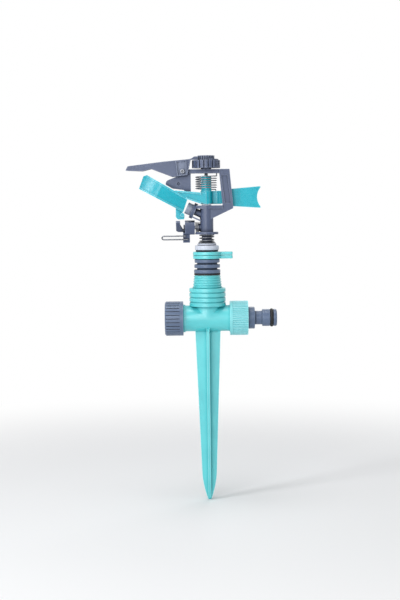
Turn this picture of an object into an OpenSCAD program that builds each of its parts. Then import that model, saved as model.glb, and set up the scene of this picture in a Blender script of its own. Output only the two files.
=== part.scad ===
// Impact sprinkler on a ground spike: +Z up, origin on the spin axis at soil level, jet toward -X

/* [Ground spike] */
// Depth of the tip below soil level
spike_len = 157; // [100:0.5:220]
// Half width of the blades at their top
spike_top_half = 12.0; // [9:0.1:15]
// Half width of the blades where the point starts
spike_low_half = 7.1; // [5:0.1:9]
// Length of the curved point
spike_point_len = 28; // [15:0.5:40]
// Thickness of the blades
spike_blade_t = 2.6; // [2:0.1:4]
// Half width of the blunt tip
spike_tip_half = 1.6; // [1:0.1:3]
// How far the front and back blades climb up the tee
spike_climb = 9.5; // [6:0.1:11]

/* [Tee] */
// Height of the tee's axis above soil level
tee_axis_z = 17; // [15:0.1:24]
// How far the tee's body lies inside the thread crests
tee_step = 0.8; // [0.4:0.1:1.6]
// Wall of the tee
tee_wall = 3.1; // [2:0.1:3.5]
// Length of the tee to the left of the spin axis
tee_left = 23.2; // [18:0.1:34]
// Length of the tee to the right of the spin axis
tee_right = 20.8; // [18:0.1:34]
// Thickness of the left shoulder ring
shoulder_t = 2.0; // [1:0.1:3]
// Radius of the male pipe threads at their crests
thread_r = 13.1; // [13:0.05:13.6]
// Spacing of the thread turns
thread_pitch = 1.8; // [1.5:0.05:2.2]
// Depth of the thread turns
thread_depth = 0.8; // [0.4:0.05:1.1]

/* [End cap] */
// Thickness of the cap's shell with its ribs
cap_shell = 3.05; // [2.4:0.05:5]
// Length of the cap
cap_len = 17.3; // [12:0.1:24]
// Thickness of the cap's floor
cap_floor = 2.0; // [1.5:0.1:3]
// Length of the cap's smooth rim
cap_rim_len = 3.3; // [2:0.1:5]
// Number of grip ribs
cap_rib_n = 29; // [16:1:40]
// Height of the grip ribs
cap_rib_h = 0.9; // [0.4:0.1:1.2]
// Width of the grip ribs
cap_rib_w = 2.4; // [1:0.1:2.7]
// Bevel of the cap's outer edge
cap_bevel = 1.2; // [0.5:0.1:2]
// Thickness of the flat washers in the cap and in the nut
flat_washer_t = 1.8; // [1:0.1:3]

/* [Inlet] */
// Thickness of the nut's shell with its ribs
nut_shell = 3.05; // [2.4:0.05:5]
// Length of the coupling nut
nut_len = 17.1; // [14:0.1:24]
// Thickness of the nut's end wall
nut_wall = 3.4; // [2:0.1:5]
// Length of the nut's smooth rim
nut_rim_len = 2.4; // [1:0.1:4]
// Number of grip ribs on the nut
nut_rib_n = 52; // [30:1:60]
// Height of the nut's ribs
nut_rib_h = 0.65; // [0.3:0.05:0.8]
// Width of the nut's ribs
nut_rib_w = 0.85; // [0.6:0.05:1.1]
// Thickness of the plug's inner flange
plug_flange_t = 2.6; // [1.5:0.1:4]
// Gap between the plug's inner flange and the nut's thread
plug_flange_gap = 0.65; // [0.4:0.05:1.2]
// Radius of the plug's shank
plug_shank_r = 10.4; // [9.2:0.1:11]
// Length of the shank outside the nut
plug_shank_len = 6.3; // [3:0.1:9]
// Radius of the plug's waist
plug_neck_r = 6.5; // [5.8:0.1:7.4]
// Length of the plug's waist
plug_neck_len = 7.2; // [5:0.1:10]
// Radius of the plug's land and nose
plug_land_r = 8.1; // [7.6:0.05:8.4]
// Length of the plug's land
plug_land_len = 7.3; // [4:0.1:10]
// Length of the plug's nose
plug_nose_len = 3.2; // [2.4:0.1:6]
// Bevel of the plug's nose
plug_bevel = 0.7; // [0.3:0.1:1.2]
// Radius of the plug's water bore
plug_bore_r = 4.4; // [3:0.1:4.8]
// Radius of the sealing ring's section
o_ring_sec = 1.6; // [1.2:0.05:1.8]
// How far the sealing ring stands out of its groove
o_ring_proud = 0.6; // [0.3:0.05:0.9]

/* [Neck] */
// Height of the neck's first ring over the tee's axis
neck_lift = 11.7; // [8:0.1:13]
// Radius of the thick rings
ring_r = 17.2; // [16:0.1:19]
// Number of thick rings
ring_n = 4; // [2:1:6]
// Height of a thick ring
ring_h = 3.6; // [2.4:0.1:4.2]
// Spacing of the thick rings
ring_pitch = 4.5; // [4.3:0.05:6]
// Depth of the grooves between the thick rings
ring_groove = 1.1; // [0.6:0.1:2.4]
// Radius of the thick rings' outer edges
ring_round = 0.5; // [0.3:0.1:1.1]
// Number of fine ribs
rib_n = 5; // [3:1:6]
// Spacing of the fine ribs
rib_pitch = 2.4; // [2:0.05:3]
// Radius of a fine rib's section
rib_sec = 0.8; // [0.5:0.05:0.95]
// Lower radius of the fine ribs' cone
cone_r_low = 13.2; // [12.6:0.1:15]
// Upper radius of the fine ribs' cone
cone_r_top = 11.8; // [11.4:0.1:12.4]

/* [Bearing] */
// Thickness of the neck's sealing ring
seal_t = 1.9; // [1:0.1:3]
// Radius of the neck's sealing ring
seal_r = 12.4; // [11.5:0.1:13]
// Radius of the bearing holder's thread
nip_thread_r = 10.4; // [9.8:0.05:10.6]
// Length of the bearing holder's thread
nip_thread_len = 12.5; // [11:0.1:16]
// Number of ribs on the bearing holder
nip_rib_n = 3; // [2:1:5]
// Height of the bearing holder's ribs
nip_rib_h = 3.3; // [2:0.1:4]
// Spacing of the bearing holder's ribs
nip_rib_pitch = 4.95; // [4.2:0.05:6]
// Radius of the lowest rib
nip_rib_r = 12.5; // [12:0.1:14]
// How much each higher rib is smaller
nip_rib_step = 0.3; // [0:0.05:0.6]
// Radius between the ribs
nip_core_r = 9.6; // [8.8:0.1:11]
// Radius of the sleeve that the stop collars turn on
sleeve_r = 10.2; // [9.4:0.1:10.8]
// Outer radius of the stop collars
collar_r = 13.3; // [12.2:0.1:14.5]
// Height of a stop collar
collar_h = 3.1; // [2:0.1:5]
// Reach of the collars' tabs from the spin axis
tab_reach = 24.2; // [20:0.1:26]
// Width of the collars' tabs
tab_w = 6.4; // [3:0.1:8]
// Radius of the tabs' outer corners
tab_round = 1.4; // [0.4:0.1:1.5]
// Radius of the dark washer over the collars
collar_washer_r = 10.6; // [8:0.1:12]
// Thickness of the dark washer
collar_washer_t = 1.3; // [0.8:0.1:2]
// Radius of the white spacer
spacer_r = 11.3; // [9:0.1:12.5]
// Height of the white spacer
spacer_h = 4.4; // [2:0.1:8]
// Radius of the thin white washer
thrust_r = 9.0; // [7:0.1:11]
// Thickness of the thin white washer
thrust_t = 1.6; // [0.8:0.1:3]
// Radius of the spring's washer
spring_washer_r = 8.0; // [7.6:0.1:10]
// Thickness of the spring's washer
spring_washer_t = 1.0; // [0.5:0.1:2]
// Outer radius of the bearing tube
tube_r = 4.8; // [4.4:0.05:5.0]
// Bore radius of the bearing tube
tube_bore_r = 3.4; // [2.5:0.05:3.7]
// Radius of the bearing tube's foot flange
tube_flange_r = 7.2; // [6.4:0.1:8]
// Thickness of the foot flange
tube_flange_t = 2.0; // [1:0.1:3]
// Height of the foot flange over the holder's lower end
tube_rise = 1.5; // [0.5:0.1:3]
// Thickness of the rubber washer on the foot flange
tube_seal_t = 1.8; // [1:0.1:3]
// Thickness of the nylon washer on the foot flange
tube_washer_t = 1.6; // [1:0.1:3]
// How deep the tube enters the head
tube_insert = 7.2; // [5:0.1:10]
// Wire of the bearing spring
bs_wire = 1.1; // [0.8:0.05:1.3]
// Outer radius of the bearing spring
bs_out_r = 7.3; // [7:0.05:8]
// Length of the bearing spring
bs_len = 7.4; // [6.8:0.1:12]
// Turns of the bearing spring
bs_turns = 3; // [3:1:3]

/* [Head] */
// Radius of the head's flange
flange_r = 10.9; // [9:0.1:11]
// Thickness of the head's flange
flange_t = 2.2; // [1.5:0.1:4]
// Radius of the column
column_r = 6.3; // [6:0.1:7]
// Height of the column over the flange
column_h = 22; // [21:0.1:30]
// Thickness of the platform
platform_t = 3.0; // [2:0.1:5]
// Half depth of the platform
platform_half = 6.0; // [5:0.1:8]
// Left end of the platform
platform_left = 9.5; // [7:0.1:12]
// Height of the window between platform and top bar
window_h = 30.2; // [29.5:0.1:40]
// Thickness of the top bar
bar_t = 3.8; // [3:0.1:5]
// Half depth of the top bar
bar_half = 4.4; // [3.5:0.1:5]
// Inner edge of the post at the platform
post_low_in = 15.2; // [14.6:0.1:18]
// Outer edge of the post at the platform
post_low_out = 25.1; // [22:0.1:28]
// Inner edge of the post at the top
post_top_in = 12.0; // [11.6:0.1:14]
// Outer edge of the post at the top
post_top_out = 22.0; // [18:0.1:25]
// Distance of the post's front face from the spin axis
post_front = 5.0; // [3:0.1:7]
// Distance of the post's back face from the spin axis
post_back = 0.2; // [0:0.1:0.4]
// Width of the post's rims
post_rim = 2.2; // [1.5:0.1:3]
// Depth of the post's front recess
post_recess = 0.9; // [0.4:0.1:2]
// Height of the strut's lower end over the flange
strut_lift = 12; // [8:0.1:16]
// Near edge of the arm's stop
stop_in = 14.5; // [13:0.1:16]
// Far edge of the arm's stop
stop_out = 20.9; // [18:0.1:22]
// How far the stop hangs below the top bar
stop_drop = 20.2; // [15:0.1:23]
// Distance of the stop's front face from the spin axis
stop_front = 2.8; // [1.5:0.1:3]
// Distance of the stop's back face from the spin axis
stop_back = 2.2; // [1:0.1:4]
// Reach of the stop's nose from the spin axis
nose_out = 38.2; // [34:0.1:41]
// Radius of the nose's round end
nose_r = 4.0; // [3:0.1:5]
// Depth of the nose's round end below the top bar
nose_sink = 9.6; // [8:0.1:11]
// Depth of the nose's root below the top bar
nose_drop = 15.6; // [12:0.1:18]
// Gap between the nose and the spoon's upper edge
nose_gap = 1.0; // [0.6:0.1:2]
// Radius of the dimple in the nose
dimple_r = 1.6; // [1:0.1:2]
// Depth of the dimple in the nose
dimple_d = 0.9; // [0.4:0.1:1.4]
// Distance of the dimple from the stop
dimple_x = 5.2; // [3:0.1:8]
// Radius of the lug that carries the deflector
lug_r = 2.8; // [2.4:0.1:3.2]

/* [Jet] */
// Rise of the jet
jet_rise = 25; // [22:0.5:28]
// Height of the jet's root over the flange
jet_lift = 14.3; // [13.5:0.1:16]
// Outer radius of the barrel
barrel_r = 3.3; // [3:0.1:4]
// Water bore of the barrel
barrel_bore_r = 2.3; // [1.6:0.05:2.6]
// Distance of the barrel's collar from the spin axis
barrel_len = 12.1; // [11:0.1:14]
// Radius of the barrel's collar
jet_collar_r = 7.5; // [6.8:0.1:7.8]
// Thickness of the barrel's collar
jet_collar_t = 3.2; // [2.8:0.1:5]
// Half height between the barrel's guard ribs
guard_half = 5.0; // [4.4:0.1:6]
// Thickness of the guard ribs
guard_t = 1.4; // [0.8:0.1:2]
// Half depth of the guard ribs
guard_depth = 4.5; // [3:0.1:6]
// Radius of the nozzle tip
nozzle_r = 5.6; // [4.8:0.1:5.8]
// Length of the nozzle tip
nozzle_len = 5.4; // [4:0.1:6.8]
// Radius of the nozzle's spigot
nozzle_spigot_r = 4.2; // [3.6:0.1:4.6]
// Length of the nozzle's spigot
nozzle_spigot_len = 2.4; // [1.5:0.1:2.6]
// Radius of the orifice
orifice_r = 2.0; // [1.2:0.05:2.2]

/* [Impact arm] */
// Radius of the pivot pin
pin_r = 1.6; // [1.2:0.05:2]
// Depth of the pin in the column
pin_seat = 6.4; // [4:0.1:7]
// Radius of the washer under the hub
arm_washer_r = 4.5; // [3.5:0.1:5.4]
// Thickness of the washer under the hub
arm_washer_t = 0.9; // [0.5:0.1:2]
// Radius of the hub
hub_r = 5.5; // [5:0.1:6]
// Height of the hub
hub_h = 12.4; // [10.8:0.1:13]
// Radius of the core inside the spring
core_r = 4.9; // [3.5:0.1:6.5]
// Height of the core over the hub
core_h = 14.2; // [8:0.1:15]
// Distance of the spring lug from the spin axis
spring_lug_x = 10.3; // [9.4:0.1:10.6]
// How far the spring lug stands back
spring_lug_y = 4.6; // [4.4:0.1:5]
// Radius of the spring lug
spring_lug_r = 3.9; // [3:0.1:4.1]
// Distance of the web's front face from the spin axis
web_front = 6.0; // [5:0.1:7]
// Distance of the web's back face from the spin axis
web_back = 3.4; // [3.3:0.1:4]
// How far the web's flanges stand out in front
web_flange_out = 1.2; // [0.4:0.1:2]
// Thickness of the web's flanges
web_flange_t = 1.5; // [1:0.1:2.5]
// Length of the web's lower flange
web_low_len = 19; // [15:0.1:20]
// Length of the web's upper flange
web_high_len = 29.6; // [26:0.1:34]
// Height of the lower flange at the hub
web_low_root = 0.2; // [0:0.1:3]
// Height of the lower flange at its end
web_low_end = 5.0; // [4.5:0.1:5.2]
// Height of the upper flange at the hub
web_high_root = 10.5; // [8:0.1:10.8]
// Height of the upper flange at its end
web_high_end = 13.2; // [12:0.1:13.6]

/* [Spoon] */
// Distance of the spoon's near end from the spin axis
spoon_x = 20.8; // [20.4:0.05:22]
// Height of the spoon's near end over the hub's lower end
spoon_lift = -0.3; // [-1:0.1:0.3]
// Rise of the spoon
spoon_rise = 29.3; // [28:0.1:30]
// Length of the spoon
spoon_len = 44.8; // [40:0.1:46]
// How much nearer the near end's lower corner lies
spoon_near_slant = 2.3; // [0:0.1:2.5]
// Half width of the spoon's near end
spoon_near_half = 6.7; // [6:0.1:7]
// Half width of the spoon's far end
spoon_far_half = 7.6; // [6.6:0.1:7.8]
// How much further out the far end's upper corner lies
spoon_slant = 2.0; // [0:0.1:3]
// Distance of the crease from the near end
crease_s = 25.9; // [20:0.1:30]
// Front of the wall at the near end
wall_near_y = 4.2; // [3.6:0.1:5]
// Front of the wall at the crease
wall_crease_y = 9.0; // [7:0.1:11]
// How far the far end crosses behind the spin plane
wall_far_y = 1.0; // [0:0.1:2]
// Thickness of the spoon's wall
wall_t = 1.6; // [1.2:0.1:2.4]
// Width of the spoon's rims
spoon_rim = 1.6; // [1.2:0.1:2.4]
// How far the rims stand out in front of the wall
rim_proud = 0.7; // [0.3:0.1:1.2]
// How far the rims reach behind the spin plane
rim_back = 4.0; // [3:0.1:5]
// Bevel of the spoon's far upper corner
spoon_bevel = 2.6; // [1:0.1:4]

/* [Striker and vane] */
// Near edge of the striker tab
striker_in = 20.9; // [20.6:0.1:22]
// Far edge of the striker tab
striker_out = 29.1; // [28:0.1:32]
// How far the striker tab hangs below the hub's lower end
striker_drop = 14.2; // [13:0.1:14.6]
// Half thickness of the striker tab
striker_half = 1.3; // [0.9:0.1:1.6]
// Height of the striker tab's lower part
striker_step = 4.2; // [3:0.1:4.4]
// How far the striker tab steps back beside the nozzle
striker_notch = 1.7; // [1.6:0.1:2.4]
// Bevel of the striker tab's lower corners
striker_bevel = 2.0; // [1:0.1:3]
// Radius of the striker's boss
striker_boss_r = 2.0; // [1.2:0.1:2.6]
// How far the striker's boss stands out
striker_boss_t = 1.5; // [0.5:0.1:3]
// Length of the vane's root beside the platform
vane_root = 17; // [16.7:0.1:19]
// Height of the vane's root over the hub's lower end
vane_root_lift = 0.4; // [0.2:0.1:1]
// Near end of the vane
vane_in = 23.8; // [20:0.1:26]
// Far end of the vane
vane_out = 51.2; // [44:0.1:60]
// Depth of the vane's lower edge below the hub's lower end, at its near end
vane_drop = 2.2; // [1:0.1:4]
// Depth of the vane's lower edge below the hub's lower end, at its far end
vane_far_drop = 4.1; // [2:0.1:6]
// Height of the vane's upper edge at its near end
vane_near_top = 14.2; // [12.4:0.1:16]
// Height of the vane's upper edge at its far end
vane_far_top = 16.4; // [13:0.1:18]
// Distance of the vane's front face behind the spin plane
vane_front = 1.0; // [0.8:0.1:1.4]
// Thickness of the vane
vane_t = 2.4; // [1.5:0.1:3.5]
// Radius of the vane's hollow end
vane_hollow_r = 14; // [12:0.1:20]
// Depth of the vane's hollow end
vane_hollow_d = 3.2; // [2:0.1:6]

/* [Arm spring] */
// Wire of the arm spring
as_wire = 1.0; // [0.7:0.05:1.3]
// Outer radius of the arm spring
as_out_r = 10.4; // [9.8:0.05:10.9]
// Whole turns of the arm spring, less the part turn to its lug
as_turns = 6; // [4:1:7]
// Length of the straight ends
as_leg = 1.3; // [1.1:0.1:2]
// Gap between the spring's top turn and the top bar
as_head_gap = 2.6; // [1.6:0.1:4]

/* [Deflector] */
// Distance of the deflector's pivot from the spin axis
pivot_x = 22.3; // [21.5:0.1:23]
// Length of the deflector from its pivot
flap_len = 53.4; // [46:0.1:58]
// Top of the tip over the pivot
flap_tip_top = 5.4; // [4.5:0.1:7]
// How far the tip's upper corner lies behind its lower corner
flap_tip_slant = 2.2; // [0:0.1:4]
// Underside of the tip over the pivot
flap_tip_low = 1.5; // [1:0.1:2.5]
// Distance of the notch's outer end from the pivot
notch_out = 37.6; // [36:0.1:39]
// Underside at the notch's outer end
notch_out_z = 0.7; // [0.5:0.1:1.5]
// Distance of the notch's peak from the pivot
notch_peak = 29.3; // [26:0.1:32]
// Height of the notch's peak over the pivot
notch_peak_z = 2.7; // [2:0.1:4]
// Distance of the keel from the pivot
keel = 9.4; // [8:0.1:12]
// Depth of the keel below the pivot
keel_z = 5.0; // [4:0.1:5.4]
// Depth of the near end below the pivot
heel_z = 3.4; // [3:0.1:4]
// Distance of the heel from the pivot
heel = 4.6; // [3.5:0.1:5]
// Distance of the crown's outer end from the pivot
crown_out = 17.7; // [15:0.1:22]
// Height of the crown's outer end over the pivot
crown_out_z = 9.3; // [8:0.1:10]
// Distance of the crown's near end from the pivot
crown_in = 8.0; // [7:0.1:8.2]
// Height of the crown's near end over the tail's underside
crown_cover = 0.9; // [0.6:0.1:1.4]
// Thickness of the deflector's walls
flap_wall = 1.7; // [1.2:0.1:2.2]
// Width of the ribs on the front cheek
cheek_rib_w = 0.9; // [0.5:0.1:1.4]
// How far the cheek's ribs stand out
cheek_rib_h = 0.5; // [0.2:0.1:0.8]
// Distance of the outer rib's upper end from the pivot
cheek_rib_out = 5.6; // [4:0.1:7]
// Distance of the middle rib from the pivot
cheek_rib_mid = 3.1; // [2.6:0.1:3.6]
// How much the outer rib leans toward the pivot at its lower end
cheek_rib_lean = 1.6; // [0:0.1:2.5]
// Depth of the pocket round the screw
pocket_d = 1.0; // [0.3:0.1:1.1]
// Depth of the pocket's lower edge below the pivot
pocket_drop = 3.0; // [2.8:0.1:3.4]
// Radius of the boss round the screw, inside the pocket
pocket_boss_r = 2.4; // [2.1:0.1:2.6]
// Radius of the pivot screw
screw_r = 1.5; // [1.1:0.05:1.8]
// Radius of the screw's head
screw_head_r = 2.0; // [1.9:0.1:3]
// Thickness of the screw's head
screw_head_t = 1.1; // [0.8:0.1:2]
// Radius of the hollow in the screw's heads
screw_hollow_r = 0.9; // [0.6:0.1:1.2]
// Depth of the hollow in the screw's heads
screw_hollow_d = 0.6; // [0.3:0.1:0.7]
// Largest tilt of the deflector
flap_tilt = 6; // [4:0.5:6]
// Length of the tail finger past the crown
tail_len = 6.6; // [5.5:0.1:6.8]
// Thickness of the tail finger
tail_t = 3.2; // [2:0.1:4]
// Length of the tail's root in the cheek
tail_root = 5.0; // [3:0.1:7]

/* [Range knob] */
// Radius of the knob's lower tier
knob_r = 13.3; // [12.5:0.1:14.2]
// Height of the knob's lower tier
knob_low_h = 7.2; // [5:0.1:10]
// Radius of the knob's upper tier
knob_top_r = 8.0; // [6:0.1:8.2]
// Height of the knob's upper tier
knob_top_h = 4.4; // [3:0.1:8]
// Gap between top bar and knob
knob_gap = 1.2; // [0.8:0.1:2]
// Radius of the knob's foot
knob_foot_r = 5.0; // [3:0.1:7]
// Ribs round the lower tier
knob_rib_n = 20; // [12:1:30]
// Depth of the lower tier's ribs
knob_rib_h = 1.2; // [0.4:0.1:1.5]
// Width of the lower tier's ribs
knob_rib_w = 2.6; // [1.5:0.1:2.8]
// Ribs round the upper tier
knob_top_rib_n = 24; // [12:1:36]
// Depth of the upper tier's ribs
knob_top_rib_h = 0.6; // [0.3:0.05:1]
// Width of the upper tier's ribs
knob_top_rib_w = 1.1; // [0.6:0.05:1.2]
// Turn of the knob from end to end
knob_turn = 270; // [180:5:280]
// Steps of the knob's ramp
ramp_steps = 36; // [18:1:60]

/* [Trip] */
// Height of the rocker's axis over the flange
trip_lift = 4.35; // [4:0.05:5]
// Near face of the rocker block
trip_in = 11.3; // [11.2:0.1:13]
// Far face of the rocker block
trip_out = 20.6; // [19:0.1:21]
// Half height of the rocker block
trip_half_h = 5.9; // [5.5:0.1:6.2]
// Half depth of the rocker block
trip_half_d = 4.8; // [4:0.1:5]
// Height of the rocker block's upper front facet
trip_facet = 4.0; // [2:0.1:5]
// Bevel of the rocker block
trip_bevel = 1.2; // [0.5:0.1:2]
// Lean of the rocker toward the front at rest
trip_lean = 17; // [15:0.5:18]
// Turn of the dog against the rocker block
dog_bend = 38; // [36:0.5:40]
// Radius of the rocker's pin
trip_pin_r = 1.8; // [1.4:0.05:2]
// Radius of the pin's head
trip_head_r = 2.8; // [2.4:0.1:3]
// Thickness of the pin's head
trip_head_t = 1.1; // [0.6:0.1:1.6]
// Far edge of the dog
dog_out = 29.0; // [27:0.1:31]
// Width of the dog's finger
dog_w = 4.0; // [2.5:0.1:4.4]
// Reach of the dog above the axis
dog_reach = 9.6; // [9:0.1:10]
// Height of the dog's root
dog_root_h = 2.4; // [1.5:0.1:2.6]
// Height of the dog's gusset over the axis
dog_gusset = 3.6; // [1:0.1:6]
// Half thickness of the dog
dog_half = 1.1; // [0.7:0.1:1.4]
// Near edge of the foot
foot_in = 16.0; // [14:0.1:17]
// Far edge of the foot
foot_out = 22.5; // [21:0.1:25]
// Reach of the foot below the axis
foot_reach = 14.2; // [13:0.1:16]
// Half depth of the foot
foot_half = 2.6; // [1.8:0.1:3.2]
// Radius of the boss on the column
trip_boss_r = 3.6; // [3.2:0.1:3.7]
// How far the boss stands off the column
trip_boss_len = 2.3; // [1:0.1:3]
// Wall between the rocker's pin and the bearing tube
trip_wall = 0.6; // [0.4:0.05:1.2]
// Wire of the rocker's spring
ts_wire = 0.7; // [0.5:0.05:0.8]
// Outer radius of the rocker's spring
ts_out_r = 5.1; // [5:0.05:5.6]
// Turns of the rocker's spring
ts_turns = 3; // [2:1:3]

/* [Trip wire] */
// Radius of the trip wire
wire_r = 0.65; // [0.5:0.05:0.8]
// Distance of the wire's pivot from the spin axis
wire_x = 17.9; // [17.5:0.1:19]
// Depth of the wire's pivot below the rocker's axis
wire_drop = 10.7; // [10.4:0.1:11.5]
// Reach of the wire from its pivot to its bend
wire_len = 22.8; // [16:0.1:26]
// Half distance between the wire's legs
wire_half = 1.7; // [1.3:0.05:2]
// Where the wire's free end stops, from its pivot
wire_end = 2.2; // [1.5:0.1:5]

/* [Clearances] */
// Radial clearance of pins and shafts that turn
run_clear = 0.06; // [0.03:0.01:0.09]
// Radial clearance of pieces that stay put
seat_clear = 0.03; // [0.01:0.01:0.08]
// Radial clearance of the pipe threads
thread_clear = 0.15; // [0.1:0.01:0.3]
// Gap between stacked pieces that stay put
stack_gap = 0.05; // [0.02:0.01:0.1]
// Gap between pieces that move past each other
move_gap = 0.3; // [0.2:0.05:0.5]

/* [Hidden] */
$fn = 64;

// Overlap of fused shapes and overrun of cuts
fuse = 0.6;
// Sides of a spring wire and rings in each of its turns
wire_sides = 6;
turn_rings = 8;
// Points along the spike's curved point and the spoon's curved end
point_steps = 8;
curl_steps = 6;
// How fast the spike's point and the spoon's end curve
point_curve = 1.8;
curl_curve = 1.5;

tee_r = thread_r - tee_step;
thread_half = thread_pitch * 9 / 20;
tee_bore_r = tee_r - tee_wall;
blade_top = tee_r * 3 / 5;
female_r = thread_r + thread_clear;
cap_r = female_r + cap_shell;
nut_r = female_r + nut_shell;
plug_flange_r = female_r - plug_flange_gap;
cap_x = tee_left + stack_gap;
cap_floor_x = cap_x + cap_len - cap_floor;
left_spigot_end = cap_floor_x - flat_washer_t - 2 * stack_gap;
nut_x = tee_right + move_gap;
nut_wall_x = nut_x + nut_len - nut_wall;
plug_flange_x = nut_wall_x - move_gap - plug_flange_t;
right_spigot_end = plug_flange_x - flat_washer_t - 2 * stack_gap;
flat_washer_hole = tee_bore_r - tee_wall / 2;
plug_neck_x = nut_x + nut_len + plug_shank_len;
plug_land_x = plug_neck_x + plug_neck_len;
groove_x = plug_land_x + plug_land_len;
groove_len = 2 * o_ring_sec + 2 * stack_gap;
groove_r = plug_land_r + o_ring_proud - 2 * o_ring_sec - stack_gap;
plug_nose_x = groove_x + groove_len;
plug_end = plug_nose_x + plug_nose_len;

neck_z = tee_axis_z + neck_lift;
ring_top = neck_z + (ring_n - 1) * ring_pitch + ring_h;
cone_h = (rib_n + 0.1) * rib_pitch;
neck_top = ring_top + cone_h;

nip_low = neck_top - nip_thread_len;
flange_low = nip_low + tube_rise;
tube_seal_z = flange_low + tube_flange_t + stack_gap;
tube_washer_z = tube_seal_z + tube_seal_t + move_gap;
chamber_top = tube_washer_z + tube_washer_t + stack_gap;
nip_body_z = neck_top + seal_t + 2 * stack_gap;
sleeve_z = nip_body_z + (nip_rib_n - 1) * nip_rib_pitch + nip_rib_h + stack_gap * 2;
lower_collar_z = sleeve_z + move_gap;
upper_collar_z = lower_collar_z + collar_h + move_gap;
sleeve_top = upper_collar_z + collar_h + move_gap;
collar_washer_z = sleeve_top + stack_gap;
spacer_z = collar_washer_z + collar_washer_t + stack_gap;
thrust_z = spacer_z + spacer_h + move_gap;
spring_washer_z = thrust_z + thrust_t + stack_gap;
bs_z = spring_washer_z + spring_washer_t + stack_gap;
head_z = bs_z + bs_len + stack_gap;

flange_top = head_z + flange_t;
platform_z = flange_top + column_h;
platform_top = platform_z + platform_t;
bar_z = platform_top + window_h;
bar_top = bar_z + bar_t;
pivot_z = bar_z + bar_t / 2;
jet_z = flange_top + jet_lift;
collar_end = barrel_len + jet_collar_t;
mouth_len = nozzle_len * 2 / 5;
strut_z = flange_top + strut_lift;
strut_root = column_r * 3 / 5;
trip_z = flange_top + trip_lift;
trip_boss_end = column_r + trip_boss_len;
trip_seat = tube_r + trip_wall;

spoon_end = spoon_len + spoon_slant;
arm_washer_z = platform_top + stack_gap;
arm_z = arm_washer_z + arm_washer_t + move_gap;
hub_top = arm_z + hub_h;
spring_lug_top = hub_top;
knob_z = bar_top + knob_gap;
knob_mid = knob_z + knob_low_h;
knob_top = knob_mid + knob_top_h;
pin_top = knob_mid + knob_top_h / 2;

cheek_in = bar_half + move_gap + stack_gap;
cheek_out = cheek_in + flap_wall;
tail_low = knob_mid + move_gap;
tail_z = tail_low - pivot_z;
crown_in_z = tail_z + crown_cover;
tail_in = pivot_x - crown_in - tail_len;
tail_out = tail_in + tail_len / 2;
ramp_in = knob_top_r + move_gap;
ramp_out = knob_r - knob_rib_h - move_gap;
ramp_h = (pivot_x - ramp_out) * sin(flap_tilt);
tail_angle = 180 + atan2((cheek_in + cheek_out) / 2, (tail_in + tail_out) / 2);
ramp_rest = 14;

as_mean = as_out_r - as_wire / 2;
as_start = atan2(spring_lug_y, spring_lug_x);
as_low = spring_lug_top + stack_gap * 2;
as_path = concat(
    [[as_mean * cos(as_start), as_mean * sin(as_start), as_low]],
    helix(as_mean, as_start, as_turns - as_start / 360, as_low + as_leg, bar_z - as_head_gap),
    [[as_mean, 0, bar_z - stack_gap * 2]]
);
bs_mean = bs_out_r - bs_wire / 2;
bs_rest = 0.4;
bs_path = [
    for (i = [0:bs_turns * turn_rings])
        let (t = i / turn_rings)
        let (u = min(max(t - bs_rest, 0), bs_turns - 2 * bs_rest) / (bs_turns - 2 * bs_rest))
        [
            bs_mean * cos(360 * t),
            bs_mean * sin(360 * t),
            bs_z + bs_wire / 2 + u * (bs_len - bs_wire)
        ]
];
ts_mean = ts_out_r - ts_wire / 2;
ts_low = column_r + ts_wire;
ts_high = trip_in - move_gap - ts_wire / 2;
ts_path = helix(ts_mean, 0, ts_turns, ts_low, ts_high);

// Points of a helix round the local Z axis
function helix(r, start, turns, z0, z1) = [
    let (n = ceil(turns * turn_rings))
    for (i = [0:n])
        let (a = start + 360 * turns * i / n)
        [r * cos(a), r * sin(a), z0 + (z1 - z0) * i / n]
];

function unit(v) = v / norm(v);

// Direction of a path at one of its points
function heading(p, i) = unit(p[min(i + 1, len(p) - 1)] - p[max(i - 1, 0)]);

// Outward direction from the local Z axis
function outward(v) = unit([v[0], v[1], 0]);

// Corners of the wire's section at one point of its path
function section(p, i, r) = [
    for (k = [0:wire_sides - 1])
        let (a = 360 * k / wire_sides)
        p[i] + r * (cos(a) * outward(p[i]) + sin(a) * cross(heading(p, i), outward(p[i])))
];

// Least distance between stretches of a path that lie over half a turn apart, less the wire
function self_gap(p, wire) = min([
    for (i = [0:len(p) - 1])
        for (j = [i + turn_rings / 2 + 1:1:len(p) - 1])
            norm(p[i] - p[j])
]) - wire;

echo(arm_spring_gap = self_gap(as_path, as_wire));
echo(bearing_spring_gap = self_gap(bs_path, bs_wire));
echo(trip_spring_gap = self_gap(ts_path, ts_wire));

// One unbroken wire along a path
module wire(path, d) {
    rings = [for (i = [0:len(path) - 1]) each section(path, i, d / 2)];
    last = (len(path) - 1) * wire_sides;
    sides = [
        for (i = [0:len(path) - 2])
            for (k = [0:wire_sides - 1])
                let (a = i * wire_sides + k)
                let (b = i * wire_sides + (k + 1) % wire_sides)
                each [[a, a + wire_sides, b], [b, a + wire_sides, b + wire_sides]]
    ];
    ends = [
        for (k = [1:wire_sides - 2])
            each [[0, k, k + 1], [last, last + k + 1, last + k]]
    ];
    polyhedron(rings, concat(sides, ends));
}

// A plate in the XZ plane between two depths
module slab(y0, y1) {
    translate([0, y1, 0]) rotate([90, 0, 0]) linear_extrude(y1 - y0) children();
}

// A disc or ring along X from x0 to x1
module along_x(x0, x1) {
    translate([x0, 0, 0]) rotate([0, 90, 0]) linear_extrude(x1 - x0) children();
}

// A disc or ring along Y from y0 to y1
module along_y(y0, y1) {
    translate([0, y0, 0]) rotate([-90, 0, 0]) linear_extrude(y1 - y0) children();
}

// A flat ring between two radii
module washer(z, t, r, hole) {
    translate([0, 0, z]) linear_extrude(t) difference() {
        circle(r);
        circle(hole);
    }
}

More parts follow.
